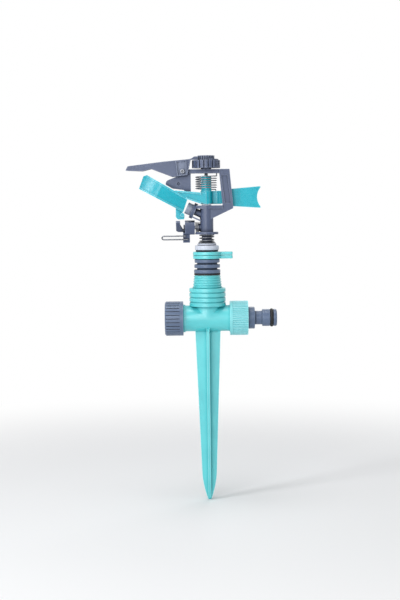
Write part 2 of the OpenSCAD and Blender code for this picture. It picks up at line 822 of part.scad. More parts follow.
// Outline of a round grip with ribs
module grip(r, n, h, w) {
    circle(r - h);
    intersection() {
        circle(r);
        for (i = [0:n - 1])
            rotate(360 * i / n) translate([r - h - fuse, -w / 2]) square([h + 2 * fuse, w]);
    }
}

// Shallow turns cut round a pipe end along X
module thread_cut(x0, x1) {
    n = floor((x1 - x0) / thread_pitch) - 1;
    for (i = [1:n]) translate([x0 + i * thread_pitch, 0, 0]) rotate([0, 90, 0]) rotate_extrude()
        translate([thread_r, 0]) polygon([
            [-thread_depth, 0],
            [fuse, -thread_half],
            [fuse, thread_half]
        ]);
}

// Half width of the spike's curved point, from 0 at its start to 1 at its tip
function point_half(t) = spike_tip_half + (spike_low_half - spike_tip_half) * (1 - pow(t, point_curve));

// One blade pair of the spike
module blade(top) {
    right = concat(
        [[blade_top, top], [spike_top_half, tee_axis_z - tee_r]],
        [
            for (i = [0:point_steps])
                let (t = i / point_steps)
                [point_half(t), -spike_len + spike_point_len * (1 - t)]
        ]
    );
    left = [for (i = [len(right) - 1:-1:0]) [-right[i][0], right[i][1]]];
    slab(-spike_blade_t / 2, spike_blade_t / 2) polygon(concat(right, left));
}

// One thick ring of the neck
module thick_ring() {
    cylinder(r = ring_r - ring_round, h = ring_h);
    translate([0, 0, ring_round]) cylinder(r = ring_r, h = ring_h - 2 * ring_round);
    for (z = [ring_round, ring_h - ring_round])
        translate([0, 0, z]) rotate_extrude() translate([ring_r - ring_round, 0]) circle(ring_round);
}

module spike_base() {
    color("turquoise") difference() {
        union() {
            blade(tee_axis_z - tee_r + tee_wall);
            rotate([0, 0, 90]) blade(spike_climb);
            translate([0, 0, tee_axis_z]) {
                along_x(-tee_left, tee_right) circle(tee_r);
                along_x(-tee_left, -tee_left + shoulder_t) circle(thread_r);
                difference() {
                    union() {
                        along_x(-left_spigot_end, -tee_left) circle(thread_r);
                        along_x(tee_right, right_spigot_end) circle(thread_r);
                    }
                    thread_cut(-left_spigot_end, -tee_left);
                    thread_cut(tee_right, right_spigot_end);
                }
            }
            translate([0, 0, tee_axis_z]) cylinder(r = tee_r, h = neck_lift + ring_h);
            translate([0, 0, neck_z + ring_h / 2])
                cylinder(r = ring_r - ring_groove, h = ring_top - neck_z - ring_h);
            for (i = [0:ring_n - 1]) translate([0, 0, neck_z + i * ring_pitch]) thick_ring();
            translate([0, 0, ring_top]) cylinder(r1 = cone_r_low, r2 = cone_r_top, h = cone_h);
            for (i = [0:rib_n - 1])
                let (u = (i + 0.5) * rib_pitch)
                translate([0, 0, ring_top + u]) rotate_extrude()
                    translate([cone_r_low + (cone_r_top - cone_r_low) * u / cone_h, 0]) circle(rib_sec);
        }
        translate([0, 0, tee_axis_z])
            along_x(-left_spigot_end - fuse, right_spigot_end + fuse) circle(tee_bore_r);
        translate([0, 0, tee_axis_z]) cylinder(r = tee_bore_r - tee_wall / 4, h = neck_top);
        translate([0, 0, nip_low - stack_gap])
            cylinder(r = nip_thread_r + seat_clear, h = nip_thread_len + fuse);
    }
}

module end_cap() {
    color("dimgray") translate([0, 0, tee_axis_z]) difference() {
        union() {
            intersection() {
                along_x(-cap_x - cap_len, -cap_x - cap_rim_len) grip(cap_r, cap_rib_n, cap_rib_h, cap_rib_w);
                translate([-cap_x - cap_len, 0, 0]) rotate([0, 90, 0]) union() {
                    cylinder(r1 = cap_r - cap_bevel, r2 = cap_r + fuse, h = cap_bevel + fuse);
                    translate([0, 0, cap_bevel]) cylinder(r = cap_r + fuse, h = cap_len);
                }
            }
            along_x(-cap_x - cap_rim_len, -cap_x) circle(cap_r);
        }
        along_x(-cap_floor_x, -cap_x + fuse) circle(female_r);
    }
}

module end_cap_washer() {
    color("black") translate([0, 0, tee_axis_z])
        along_x(-cap_floor_x + stack_gap, -cap_floor_x + stack_gap + flat_washer_t) difference() {
            circle(thread_r - thread_depth);
            circle(flat_washer_hole);
        }
}

module inlet_nut() {
    color("turquoise") translate([0, 0, tee_axis_z]) difference() {
        union() {
            along_x(nut_x, nut_x + nut_rim_len) circle(nut_r);
            along_x(nut_x + nut_rim_len, nut_x + nut_len) grip(nut_r, nut_rib_n, nut_rib_h, nut_rib_w);
        }
        along_x(nut_x - fuse, nut_wall_x) circle(female_r);
        along_x(nut_x, nut_x + nut_len + fuse) circle(plug_shank_r + move_gap);
    }
}

module inlet_nipple() {
    color("dimgray") translate([0, 0, tee_axis_z]) difference() {
        union() {
            along_x(plug_flange_x, plug_flange_x + plug_flange_t) circle(plug_flange_r);
            along_x(plug_flange_x, plug_neck_x) circle(plug_shank_r);
            along_x(plug_neck_x - fuse, plug_land_x + fuse) circle(plug_neck_r);
            along_x(plug_land_x, groove_x) circle(plug_land_r);
            along_x(groove_x - fuse, plug_nose_x + fuse) circle(groove_r);
            along_x(plug_nose_x, plug_end - plug_bevel) circle(plug_land_r);
            translate([plug_end - plug_bevel, 0, 0]) rotate([0, 90, 0])
                cylinder(r1 = plug_land_r, r2 = plug_land_r - plug_bevel, h = plug_bevel);
        }
        along_x(plug_flange_x - fuse, plug_end + fuse) circle(plug_bore_r);
    }
}

module nipple_o_ring() {
    color("black") translate([groove_x + groove_len / 2, 0, tee_axis_z]) rotate([0, 90, 0])
        rotate_extrude() translate([plug_land_r + o_ring_proud - o_ring_sec, 0]) circle(o_ring_sec);
}

module inlet_washer() {
    color("black") translate([0, 0, tee_axis_z])
        along_x(right_spigot_end + stack_gap, right_spigot_end + stack_gap + flat_washer_t) difference() {
            circle(plug_flange_r);
            circle(flat_washer_hole);
        }
}

module neck_seal() {
    color("black") washer(neck_top + stack_gap, seal_t, seal_r, nip_thread_r + seat_clear);
}

module bearing_nipple() {
    color("slategray") difference() {
        union() {
            translate([0, 0, nip_low]) cylinder(r = nip_thread_r, h = nip_body_z - nip_low + fuse);
            translate([0, 0, nip_body_z]) cylinder(r = nip_core_r, h = sleeve_z - nip_body_z);
            for (i = [0:nip_rib_n - 1]) translate([0, 0, nip_body_z + i * nip_rib_pitch])
                cylinder(r = nip_rib_r - i * nip_rib_step, h = nip_rib_h);
            translate([0, 0, sleeve_z - nip_rib_h])
                cylinder(r = sleeve_r, h = sleeve_top - sleeve_z + nip_rib_h);
        }
        translate([0, 0, nip_low - fuse])
            cylinder(r = tube_r + run_clear, h = sleeve_top - nip_low + 2 * fuse);
        translate([0, 0, nip_low - fuse])
            cylinder(r = tube_flange_r + move_gap, h = chamber_top - nip_low + fuse);
    }
}

// A stop collar with its tab
module stop_collar(z) {
    translate([0, 0, z]) linear_extrude(collar_h) difference() {
        union() {
            circle(collar_r);
            translate([0, -tab_w / 2]) square([tab_reach - tab_round, tab_w]);
            translate([0, tab_round - tab_w / 2]) square([tab_reach, tab_w - 2 * tab_round]);
            for (side = [-1, 1])
                translate([tab_reach - tab_round, side * (tab_w / 2 - tab_round)]) circle(tab_round);
        }
        circle(sleeve_r + run_clear);
    }
}

module lower_stop_collar() {
    color("turquoise") stop_collar(lower_collar_z);
}

module upper_stop_collar() {
    color("mediumturquoise") stop_collar(upper_collar_z);
}

module collar_washer() {
    color("darkslategray") washer(collar_washer_z, collar_washer_t, collar_washer_r, tube_r + move_gap);
}

module bearing_spacer() {
    color("white") washer(spacer_z, spacer_h, spacer_r, tube_r + move_gap);
}

module thrust_washer() {
    color("whitesmoke") washer(thrust_z, thrust_t, thrust_r, tube_r + run_clear);
}

module spring_washer() {
    color("darkslategray") washer(spring_washer_z, spring_washer_t, spring_washer_r, tube_r + run_clear);
}

module bearing_spring() {
    color("silver") wire(bs_path, bs_wire);
}

module bearing_tube() {
    color("goldenrod") difference() {
        union() {
            translate([0, 0, flange_low]) cylinder(r = tube_flange_r, h = tube_flange_t);
            translate([0, 0, flange_low])
                cylinder(r = tube_r, h = head_z + tube_insert - stack_gap - flange_low);
        }
        translate([0, 0, flange_low - fuse])
            cylinder(r = tube_bore_r, h = head_z + tube_insert - flange_low + 2 * fuse);
    }
}

module tube_seal() {
    color("black") washer(tube_seal_z, tube_seal_t, tube_flange_r, tube_r + seat_clear);
}

module tube_washer() {
    color("ivory") washer(tube_washer_z, tube_washer_t, tube_flange_r, tube_r + run_clear);
}

// Frame along the jet: local Z downstream, local X across the jet and upward
module jet_frame() {
    translate([0, 0, jet_z]) rotate([0, jet_rise - 90, 0]) children();
}

// Point where a line from p touches a circle, on its left or right side
function touch(c, r, p, side) =
    let (a = atan2(p[1] - c[1], p[0] - c[0]) + side * acos(r / norm(p - c)))
    c + r * [cos(a), sin(a)];

// Side outline of the nose on the arm's stop, clear of the swinging spoon
module nose_side() {
    tip = [-nose_out + nose_r, bar_z - nose_sink];
    low = [-stop_out + fuse, bar_z - nose_drop];
    high = [-stop_out + fuse, bar_z];
    difference() {
        union() {
            translate(tip) circle(nose_r);
            polygon([tip, touch(tip, nose_r, low, -1), low, high, touch(tip, nose_r, high, 1)]);
        }
        polygon([
            [-stop_out, arm_z + spoon_top_at(stop_out) + nose_gap],
            [-nose_out - fuse, arm_z + spoon_top_at(nose_out + fuse) + nose_gap],
            [-nose_out - fuse, arm_z],
            [-stop_out, arm_z]
        ]);
    }
}

module head_body() {
    post = [
        [post_low_in, platform_top],
        [post_low_out, platform_top],
        [post_top_out, bar_top],
        [post_top_in, bar_top]
    ];
    color("slategray") difference() {
        union() {
            translate([0, 0, head_z]) cylinder(r = flange_r, h = flange_t);
            translate([0, 0, head_z]) cylinder(r = column_r, h = platform_top - head_z);
            translate([-platform_left, -platform_half, platform_z])
                cube([platform_left + post_low_in, 2 * platform_half, platform_t]);
            slab(-post_front, post_back) polygon([
                [0, strut_z],
                [strut_root, strut_z],
                [post_low_out, platform_z],
                [post_low_out, platform_top],
                [0, platform_top]
            ]);
            slab(-post_front, post_back) polygon(post);
            translate([-pivot_x, -bar_half, bar_z])
                cube([pivot_x + post_top_in + fuse, 2 * bar_half, bar_t]);
            translate([0, 0, bar_z]) slab(-bar_half, bar_half) square([post_top_out, bar_t]);
            translate([-pivot_x, 0, pivot_z]) along_y(-bar_half, bar_half) circle(lug_r);
            translate([-stop_out, -stop_front, bar_z - stop_drop])
                cube([stop_out - stop_in, stop_front + stop_back, stop_drop + bar_t / 2]);
            slab(-stop_front, stop_back) nose_side();
            translate([0, 0, trip_z]) along_x(-trip_boss_end, -trip_seat) circle(trip_boss_r);
            jet_frame() {
                cylinder(r = barrel_r, h = barrel_len + fuse);
                translate([0, 0, barrel_len]) cylinder(r = jet_collar_r, h = jet_collar_t);
                for (side = [guard_half, -guard_half - guard_t])
                    translate([side, -guard_depth, column_r / 2])
                        cube([guard_t, 2 * guard_depth, barrel_len - column_r / 2 + fuse]);
            }
        }
        translate([0, 0, head_z - fuse]) cylinder(r = tube_r + seat_clear, h = tube_insert + fuse);
        translate([0, 0, head_z]) cylinder(r = tube_bore_r, h = jet_z - head_z + barrel_bore_r);
        jet_frame() {
            cylinder(r = barrel_bore_r, h = collar_end + fuse);
            translate([0, 0, collar_end - nozzle_spigot_len - stack_gap])
                cylinder(r = nozzle_spigot_r + seat_clear, h = nozzle_spigot_len + fuse);
        }
        translate([0, 0, platform_top - pin_seat]) cylinder(r = pin_r + seat_clear, h = pin_top);
        translate([0, 0, trip_z])
            along_x(-trip_boss_end - fuse, -trip_seat) circle(trip_pin_r + seat_clear);
        translate([-pivot_x, 0, pivot_z])
            along_y(-bar_half - fuse, bar_half + fuse) circle(screw_r + seat_clear);
        translate([-stop_out - dimple_x, 0, bar_z - nose_sink])
            along_y(-stop_front - fuse, -stop_front + dimple_d) circle(dimple_r);
        translate([0, 0, trip_z]) along_x(-flange_r - fuse, -column_r) difference() {
            circle(ts_out_r + move_gap);
            circle(trip_boss_r);
        }
        slab(-post_front - fuse, -post_front + post_recess) polygon([
            [post_low_in + post_rim, platform_top + post_rim],
            [post_low_out - post_rim, platform_top + post_rim],
            [post_top_out - post_rim, bar_z - post_rim],
            [post_top_in + post_rim, bar_z - post_rim]
        ]);
    }
}

module nozzle() {
    color("lightslategray") jet_frame() difference() {
        union() {
            translate([0, 0, collar_end + stack_gap]) cylinder(r = nozzle_r, h = nozzle_len);
            translate([0, 0, collar_end - nozzle_spigot_len])
                cylinder(r = nozzle_spigot_r, h = nozzle_spigot_len + fuse);
        }
        translate([0, 0, collar_end - nozzle_spigot_len - fuse])
            cylinder(r = orifice_r, h = nozzle_spigot_len + nozzle_len + 3 * fuse);
        translate([0, 0, collar_end + stack_gap + nozzle_len - mouth_len])
            cylinder(r1 = orifice_r, r2 = nozzle_r - wall_t / 2, h = mouth_len + stack_gap);
    }
}

module arm_pivot_pin() {
    color("silver") translate([0, 0, platform_top - pin_seat + stack_gap])
        cylinder(r = pin_r, h = pin_top - platform_top + pin_seat - stack_gap);
}

module arm_washer() {
    color("whitesmoke") washer(arm_washer_z, arm_washer_t, arm_washer_r, pin_r + run_clear);
}

// Frame along the spoon: local Z outward, local X across and upward
module spoon_frame() {
    translate([-spoon_x, 0, arm_z + spoon_lift]) rotate([0, spoon_rise - 90, 0]) children();
}

// Front line of the spoon's wall, moved by a distance in depth
function spoon_front(shift) = concat(
    [[-wall_near_y + shift, -spoon_near_slant]],
    [
        for (i = [0:curl_steps])
            let (u = i / curl_steps)
            [
                -wall_crease_y + (wall_crease_y + wall_far_y) * pow(u, curl_curve) + shift,
                crease_s + (spoon_end - crease_s) * u
            ]
    ]
);

// Half width of the spoon at a distance along it
function spoon_half(s) = spoon_near_half + (spoon_far_half - spoon_near_half) * s / spoon_len;

// Height of the spoon's upper edge over the hub's lower end, at a distance from the spin axis
function spoon_top_at(x) =
    let (near = spoon_x - spoon_near_half * sin(spoon_rise))
    let (run = spoon_len * cos(spoon_rise) - (spoon_far_half - spoon_near_half) * sin(spoon_rise))
    let (climb = spoon_len * sin(spoon_rise) + (spoon_far_half - spoon_near_half) * cos(spoon_rise))
    spoon_lift + spoon_near_half * cos(spoon_rise) + climb * (x - near) / run;

// Height of the spoon's lower edge over the hub's lower end, at a distance from the spin axis
function spoon_low_at(x) =
    let (near = spoon_x + spoon_near_half * sin(spoon_rise))
    let (run = spoon_len * cos(spoon_rise) + (spoon_far_half - spoon_near_half) * sin(spoon_rise))
    let (climb = spoon_len * sin(spoon_rise) - (spoon_far_half - spoon_near_half) * cos(spoon_rise))
    spoon_lift - spoon_near_half * cos(spoon_rise) + climb * (x - near) / run;

// Spoon's outline across and along
module spoon_outline() {
    polygon([
        [-spoon_half(-spoon_near_slant), -spoon_near_slant],
        [-spoon_far_half, spoon_len],
        [spoon_half(spoon_end) - spoon_bevel, spoon_end],
        [spoon_half(spoon_end - spoon_bevel), spoon_end - spoon_bevel],
        [spoon_near_half, 0]
    ]);
}

// A shape drawn in depth and length, carried across the spoon's whole width
module across_spoon() {
    translate([-spoon_half(spoon_end) - fuse, 0, 0]) rotate([90, 0, 90])
        linear_extrude(2 * spoon_half(spoon_end) + 2 * fuse) children();
}

module spoon() {
    reach = wall_crease_y + rim_proud + fuse;
    near = -spoon_near_slant - fuse;
    back = [for (i = [len(spoon_front(wall_t)) - 1:-1:0]) spoon_front(wall_t)[i]];
    spoon_frame() {
        intersection() {
            slab(-reach, rim_back + fuse) spoon_outline();
            across_spoon() polygon(concat(spoon_front(0), back));
        }
        intersection() {
            slab(-reach, rim_back + fuse) difference() {
                spoon_outline();
                polygon([
                    [-spoon_half(near) + spoon_rim, near],
                    [-spoon_half(spoon_end) + spoon_rim, spoon_end + fuse],
                    [spoon_half(spoon_end) - spoon_rim, spoon_end + fuse],
                    [spoon_half(near) - spoon_rim, near]
                ]);
            }
            across_spoon() polygon(concat(
                spoon_front(-rim_proud),
                [[rim_back, spoon_end], [rim_back, -spoon_near_slant]]
            ));
        }
    }
}

module impact_arm() {
    striker_low = -striker_drop;
    vane_mid = (vane_far_top - vane_far_drop) / 2;
    color("turquoise") difference() {
        union() {
            translate([0, 0, arm_z]) {
                cylinder(r = hub_r, h = hub_h);
                cylinder(r = core_r, h = hub_h + core_h);
                translate([spring_lug_x, spring_lug_y, 0]) cylinder(r = spring_lug_r, h = hub_h);
                slab(-web_front, -web_back) polygon([
                    [0, web_low_root],
                    [-web_low_len, web_low_end],
                    [-web_high_len, web_high_end - 2 * web_flange_t],
                    [-web_high_len, web_high_end],
                    [0, web_high_root]
                ]);
                slab(-web_front - web_flange_out, -web_back) polygon([
                    [-core_r, web_low_root],
                    [-web_low_len, web_low_end],
                    [-web_low_len, web_low_end + web_flange_t],
                    [-core_r, web_low_root + web_flange_t]
                ]);
                slab(-web_front - web_flange_out, -web_back) polygon([
                    [-core_r, web_high_root - web_flange_t],
                    [-web_high_len, web_high_end - web_flange_t],
                    [-web_high_len, web_high_end],
                    [-core_r, web_high_root]
                ]);
                slab(-striker_half, striker_half) polygon([
                    [-striker_out, spoon_low_at(striker_out) + spoon_rim / 2],
                    [-striker_out, striker_low + striker_bevel],
                    [-striker_out + striker_bevel, striker_low],
                    [-striker_in - striker_bevel / 2, striker_low],
                    [-striker_in, striker_low + striker_bevel / 2],
                    [-striker_in, striker_low + striker_step],
                    [-striker_in - striker_notch, striker_low + striker_step + striker_notch],
                    [-striker_in - striker_notch, spoon_low_at(striker_in + striker_notch) + spoon_rim / 2]
                ]);
                translate([-striker_in - striker_boss_r, 0, striker_low + striker_step])
                    along_y(-striker_half - striker_boss_t, 0) circle(striker_boss_r);
                difference() {
                    slab(vane_front, vane_front + vane_t) polygon([
                        [0, 0],
                        [spring_lug_x, 0],
                        [vane_root, vane_root_lift],
                        [vane_in, -vane_drop],
                        [vane_out, -vane_far_drop],
                        [vane_out, vane_far_top],
                        [vane_in, vane_near_top],
                        [vane_root, hub_h],
                        [0, hub_h]
                    ]);
                    translate([vane_out + vane_hollow_r - vane_hollow_d, 0, vane_mid])
                        along_y(vane_front - fuse, vane_front + vane_t + fuse) circle(vane_hollow_r);
                }
            }
            spoon();
        }
        translate([0, 0, arm_z - fuse]) cylinder(r = pin_r + run_clear, h = hub_h + core_h + 2 * fuse);
    }
}

module arm_spring() {
    color("silver") wire(as_path, as_wire);
}

// Height of the deflector's crown at a distance toward the knob
function crown_at(x) = crown_out_z + (crown_in_z - crown_out_z) * (x + crown_out) / (crown_in + crown_out);

// Side outline of the deflector, from its pivot
module flap_side() {
    polygon([
        [-flap_len + flap_tip_slant, flap_tip_top],
        [-flap_len, flap_tip_low],
        [-notch_out, notch_out_z],
        [-notch_peak, notch_peak_z],
        [-keel, -keel_z],
        [heel, -heel_z],
        [crown_in, crown_in_z],
        [-crown_out, crown_out_z]
    ]);
}

// Upright ribs of the front cheek
module cheek_ribs() {
    intersection() {
        flap_side();
        union() {
            polygon([
                [-cheek_rib_out - cheek_rib_w, crown_out_z],
                [-cheek_rib_out + cheek_rib_lean - cheek_rib_w, -keel_z],
                [-cheek_rib_out + cheek_rib_lean, -keel_z],
                [-cheek_rib_out, crown_out_z]
            ]);
            translate([cheek_rib_mid, -keel_z]) square([cheek_rib_w, keel_z + crown_in_z + flap_wall]);
            difference() {
                flap_side();
                translate([-cheek_rib_w, 0]) flap_side();
                translate([-flap_len, -keel_z]) square([flap_len + heel - cheek_rib_w, 2 * flap_len]);
            }
        }
    }
}

module deflector() {
    color("slategray") translate([-pivot_x, 0, pivot_z]) difference() {
        union() {
            slab(-cheek_out - cheek_rib_h, -cheek_in - flap_wall / 2) cheek_ribs();
            slab(-cheek_out, -cheek_in) flap_side();
            slab(cheek_in, cheek_out) flap_side();
            slab(-cheek_in - flap_wall / 2, cheek_in + flap_wall / 2) polygon([
                [-flap_len + flap_tip_slant, flap_tip_top],
                [-flap_len + flap_tip_slant, flap_tip_top - flap_wall],
                [-crown_out, crown_out_z - flap_wall],
                [crown_in - flap_wall, crown_at(crown_in - flap_wall) - flap_wall],
                [crown_in - flap_wall, crown_at(crown_in - flap_wall)],
                [-crown_out, crown_out_z]
            ]);
            slab(-cheek_out, -cheek_in) polygon([
                [crown_in - tail_root, tail_z - flap_wall],
                [crown_in - flap_wall / 2, tail_z - flap_wall],
                [crown_in, tail_z],
                [crown_in + tail_len, tail_z],
                [crown_in + tail_len, tail_z + tail_t],
                [crown_in + tail_len / 2, tail_z + tail_t],
                [crown_in + flap_wall / 4, crown_in_z + flap_wall / 4],
                [crown_in - tail_root, crown_at(crown_in - tail_root) - flap_wall / 4]
            ]);
        }
        along_y(-cheek_out - cheek_rib_h - fuse, cheek_out + fuse) circle(screw_r + run_clear);
        slab(-cheek_out - cheek_rib_h - fuse, -cheek_out + pocket_d) difference() {
            polygon([
                [-cheek_rib_out + cheek_rib_lean, -pocket_drop],
                [cheek_rib_mid, -pocket_drop],
                [cheek_rib_mid, crown_at(cheek_rib_mid) - flap_wall],
                [-cheek_rib_out, crown_at(-cheek_rib_out) - flap_wall]
            ]);
            circle(pocket_boss_r);
        }
    }
}

module deflector_screw() {
    grip_y = cheek_out + move_gap;
    end_y = grip_y + screw_head_t;
    color("silver") translate([-pivot_x, 0, pivot_z]) difference() {
        union() {
            along_y(-grip_y - fuse, grip_y + fuse) circle(screw_r);
            along_y(-end_y, -grip_y) circle(screw_head_r);
            along_y(grip_y, end_y) circle(screw_head_r);
        }
        along_y(-end_y - fuse, -end_y + screw_hollow_d) circle(screw_hollow_r);
        along_y(end_y - screw_hollow_d, end_y + fuse) circle(screw_hollow_r);
    }
}

// Height of the knob's ramp, by the turn that brings it under the tail
function ramp_at(turn) = ramp_h * min(max(turn, 0), knob_turn) / knob_turn;

// Spiral ramp on the knob's lower tier
module ramp() {
    turns = [for (i = [0:ramp_steps]) -ramp_rest + (knob_turn + 2 * ramp_rest) * i / ramp_steps];
    corners = [
        for (t = turns)
            let (a = tail_angle - t)
            each [
                [ramp_in * cos(a), ramp_in * sin(a), -fuse],
                [ramp_out * cos(a), ramp_out * sin(a), -fuse],
                [ramp_out * cos(a), ramp_out * sin(a), ramp_at(t) + stack_gap],
                [ramp_in * cos(a), ramp_in * sin(a), ramp_at(t) + stack_gap]
            ]
    ];
    last = 4 * ramp_steps;
    walls = [
        for (i = [0:ramp_steps - 1])
            for (k = [0:3])
                let (a = 4 * i + k)
                let (b = 4 * i + (k + 1) % 4)
                each [[a, a + 4, b], [b, a + 4, b + 4]]
    ];
    caps = [[0, 1, 2], [0, 2, 3], [last, last + 2, last + 1], [last, last + 3, last + 2]];
    polyhedron(corners, concat(walls, caps));
}

module range_knob() {
    color("slategray") difference() {
        union() {
            translate([0, 0, bar_top + move_gap]) cylinder(r = knob_foot_r, h = knob_gap);
            translate([0, 0, knob_z]) linear_extrude(knob_low_h)
                grip(knob_r, knob_rib_n, knob_rib_h, knob_rib_w);
            translate([0, 0, knob_mid - fuse]) linear_extrude(knob_top_h + fuse)
                grip(knob_top_r, knob_top_rib_n, knob_top_rib_h, knob_top_rib_w);
            translate([0, 0, knob_mid]) ramp();
        }
        translate([0, 0, bar_top]) cylinder(r = pin_r + run_clear, h = pin_top - bar_top + move_gap);
    }
}

// Frame of the rocker: on its axis, leaning to the front
module trip_frame() {
    translate([0, 0, trip_z]) rotate([trip_lean, 0, 0]) children();
}

module trip_lever() {
    color("dimgray") trip_frame() difference() {
        union() {
            along_x(-trip_out, -trip_in) polygon([
                [trip_half_h - trip_bevel, trip_half_d],
                [trip_half_h, trip_half_d - trip_bevel],
                [trip_half_h, -trip_half_d + trip_bevel],
                [trip_half_h - trip_bevel, -trip_half_d],
                [-trip_half_h + trip_facet, -trip_half_d],
                [-trip_half_h, -trip_half_d + trip_bevel],
                [-trip_half_h, trip_half_d - trip_bevel],
                [-trip_half_h + trip_bevel, trip_half_d]
            ]);
            rotate([dog_bend, 0, 0]) slab(-dog_half, dog_half) polygon([
                [-trip_out + fuse, -trip_half_h],
                [-dog_out + dog_w / 2, -trip_half_h],
                [-dog_out, -trip_half_h + dog_w / 2],
                [-dog_out, dog_reach],
                [-dog_out + dog_w, dog_reach],
                [-dog_out + dog_w, dog_gusset],
                [-trip_out - move_gap - trip_head_t - 2 * move_gap, -trip_half_h + dog_root_h],
                [-trip_out + fuse, -trip_half_h + dog_root_h]
            ]);
            translate([-foot_out, -foot_half, -foot_reach])
                cube([foot_out - foot_in, 2 * foot_half, foot_reach - trip_half_h + trip_bevel]);
        }
        along_x(-trip_out - fuse, -trip_in + fuse) circle(trip_pin_r + run_clear);
        translate([-wire_x, 0, -wire_drop])
            along_y(-foot_half - fuse, foot_half + fuse) circle(wire_r + run_clear);
    }
}

module trip_pin() {
    color("silver") translate([0, 0, trip_z]) {
        along_x(-trip_out - move_gap - fuse, -trip_seat - stack_gap) circle(trip_pin_r);
        along_x(-trip_out - move_gap - trip_head_t, -trip_out - move_gap) circle(trip_head_r);
    }
}

module trip_spring() {
    color("silver") translate([0, 0, trip_z]) rotate([0, -90, 0]) wire(ts_path, ts_wire);
}

module trip_wire() {
    plane = -foot_half - move_gap - wire_r;
    color("lightgray") trip_frame() translate([-wire_x, 0, -wire_drop]) {
        along_y(plane, foot_half) circle(wire_r);
        translate([0, plane, 0]) {
            sphere(wire_r);
            along_x(-wire_len, 0) circle(wire_r);
            translate([0, 0, 2 * wire_half]) along_x(-wire_len, -wire_end) circle(wire_r);
            translate([-wire_len, 0, wire_half]) rotate([90, 90, 0])
                rotate_extrude(angle = -180) translate([wire_half, 0]) circle(wire_r);
        }
    }
}

spike_base();
end_cap();
end_cap_washer();
inlet_nut();
inlet_nipple();
nipple_o_ring();
inlet_washer();
neck_seal();
bearing_nipple();
lower_stop_collar();
upper_stop_collar();
collar_washer();
bearing_spacer();
thrust_washer();
spring_washer();
bearing_spring();
bearing_tube();
tube_seal();
tube_washer();
head_body();
nozzle();
arm_pivot_pin();
arm_washer();
impact_arm();
arm_spring();
deflector();
deflector_screw();
range_knob();
trip_lever();
trip_pin();
trip_spring();
trip_wire();
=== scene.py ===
"""Looks of an impact sprinkler on a ground spike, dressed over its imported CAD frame."""

import logging
import math
from dataclasses import dataclass
from enum import Enum

import bmesh
import bpy
from mathutils import Matrix, Vector


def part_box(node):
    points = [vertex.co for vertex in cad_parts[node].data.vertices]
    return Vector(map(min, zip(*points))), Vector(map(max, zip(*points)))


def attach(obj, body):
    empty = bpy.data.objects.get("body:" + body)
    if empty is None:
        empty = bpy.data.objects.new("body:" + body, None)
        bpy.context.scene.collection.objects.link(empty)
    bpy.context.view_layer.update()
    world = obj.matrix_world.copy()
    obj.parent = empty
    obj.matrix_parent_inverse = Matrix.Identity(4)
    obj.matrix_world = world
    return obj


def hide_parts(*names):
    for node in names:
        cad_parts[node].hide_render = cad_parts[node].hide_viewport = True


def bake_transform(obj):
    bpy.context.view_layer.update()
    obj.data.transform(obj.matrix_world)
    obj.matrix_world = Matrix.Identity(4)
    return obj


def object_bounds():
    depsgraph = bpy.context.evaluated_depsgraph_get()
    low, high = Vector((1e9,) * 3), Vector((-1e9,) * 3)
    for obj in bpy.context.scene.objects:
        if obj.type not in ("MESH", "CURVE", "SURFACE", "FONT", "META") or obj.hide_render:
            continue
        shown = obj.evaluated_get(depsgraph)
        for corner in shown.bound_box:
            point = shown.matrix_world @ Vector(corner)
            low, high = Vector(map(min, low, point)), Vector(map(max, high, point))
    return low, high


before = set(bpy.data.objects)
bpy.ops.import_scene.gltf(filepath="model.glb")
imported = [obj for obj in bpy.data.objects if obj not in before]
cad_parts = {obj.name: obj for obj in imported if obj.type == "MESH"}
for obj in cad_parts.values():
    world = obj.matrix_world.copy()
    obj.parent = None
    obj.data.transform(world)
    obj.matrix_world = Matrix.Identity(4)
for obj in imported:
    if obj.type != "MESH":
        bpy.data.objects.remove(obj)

CAD_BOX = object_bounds()
LOG = logging.getLogger("sprinkler")
MM = 0.001
Point = tuple[float, float, float]
Span = tuple[float, float]
Tree = bpy.types.NodeTree
Socket = bpy.types.NodeSocket


def linear(hex_colour: str) -> tuple[float, float, float, float]:
    """Turn a written colour into scene-linear values.

    Args:
        hex_colour: Six hexadecimal digits.

    Returns:
        Red, green, blue and alpha.
    """
    parts = [int(hex_colour[i:i + 2], 16) / 255 for i in (0, 2, 4)]
    curve = [c / 12.92 if c <= 0.04045 else ((c + 0.055) / 1.055) ** 2.4 for c in parts]
    return (curve[0], curve[1], curve[2], 1.0)


def feed(tree: Tree, socket: Socket, source: Socket | str) -> None:
    """Give a colour socket its colour.

    Args:
        tree: Node tree of the socket.
        socket: Socket that takes the colour.
        source: A written colour, or the socket that a colour comes from.
    """
    if isinstance(source, str):
        socket.default_value = linear(source)
    else:
        tree.links.new(source, socket)


def mixed(tree: Tree, share: Socket, low: Socket | str, high: Socket | str) -> Socket:
    """Mix two colours.

    Args:
        tree: Node tree.
        share: Share of the second colour.
        low: Colour at share 0.
        high: Colour at share 1.

    Returns:
        The mixed colour.
    """
    node = tree.nodes.new("ShaderNodeMix")
    node.data_type = "RGBA"
    tree.links.new(share, node.inputs["Factor"])
    feed(tree, node.inputs["A"], low)
    feed(tree, node.inputs["B"], high)
    return node.outputs["Result"]


def ranged(
    tree: Tree, value: Socket, before: Span, after: Span = (0.0, 1.0), kind: str = "LINEAR"
) -> Socket:
    """Map a range of values onto another.

    Args:
        tree: Node tree.
        value: Value to map.
        before: Ends of the range that the value has.
        after: Ends of the range that it gets.
        kind: Curve between the ends.

    Returns:
        The mapped value.
    """
    node = tree.nodes.new("ShaderNodeMapRange")
    node.interpolation_type = kind
    tree.links.new(value, node.inputs["Value"])
    for name, end in zip(("From Min", "From Max", "To Min", "To Max"), before + after):
        node.inputs[name].default_value = end
    return node.outputs["Result"]


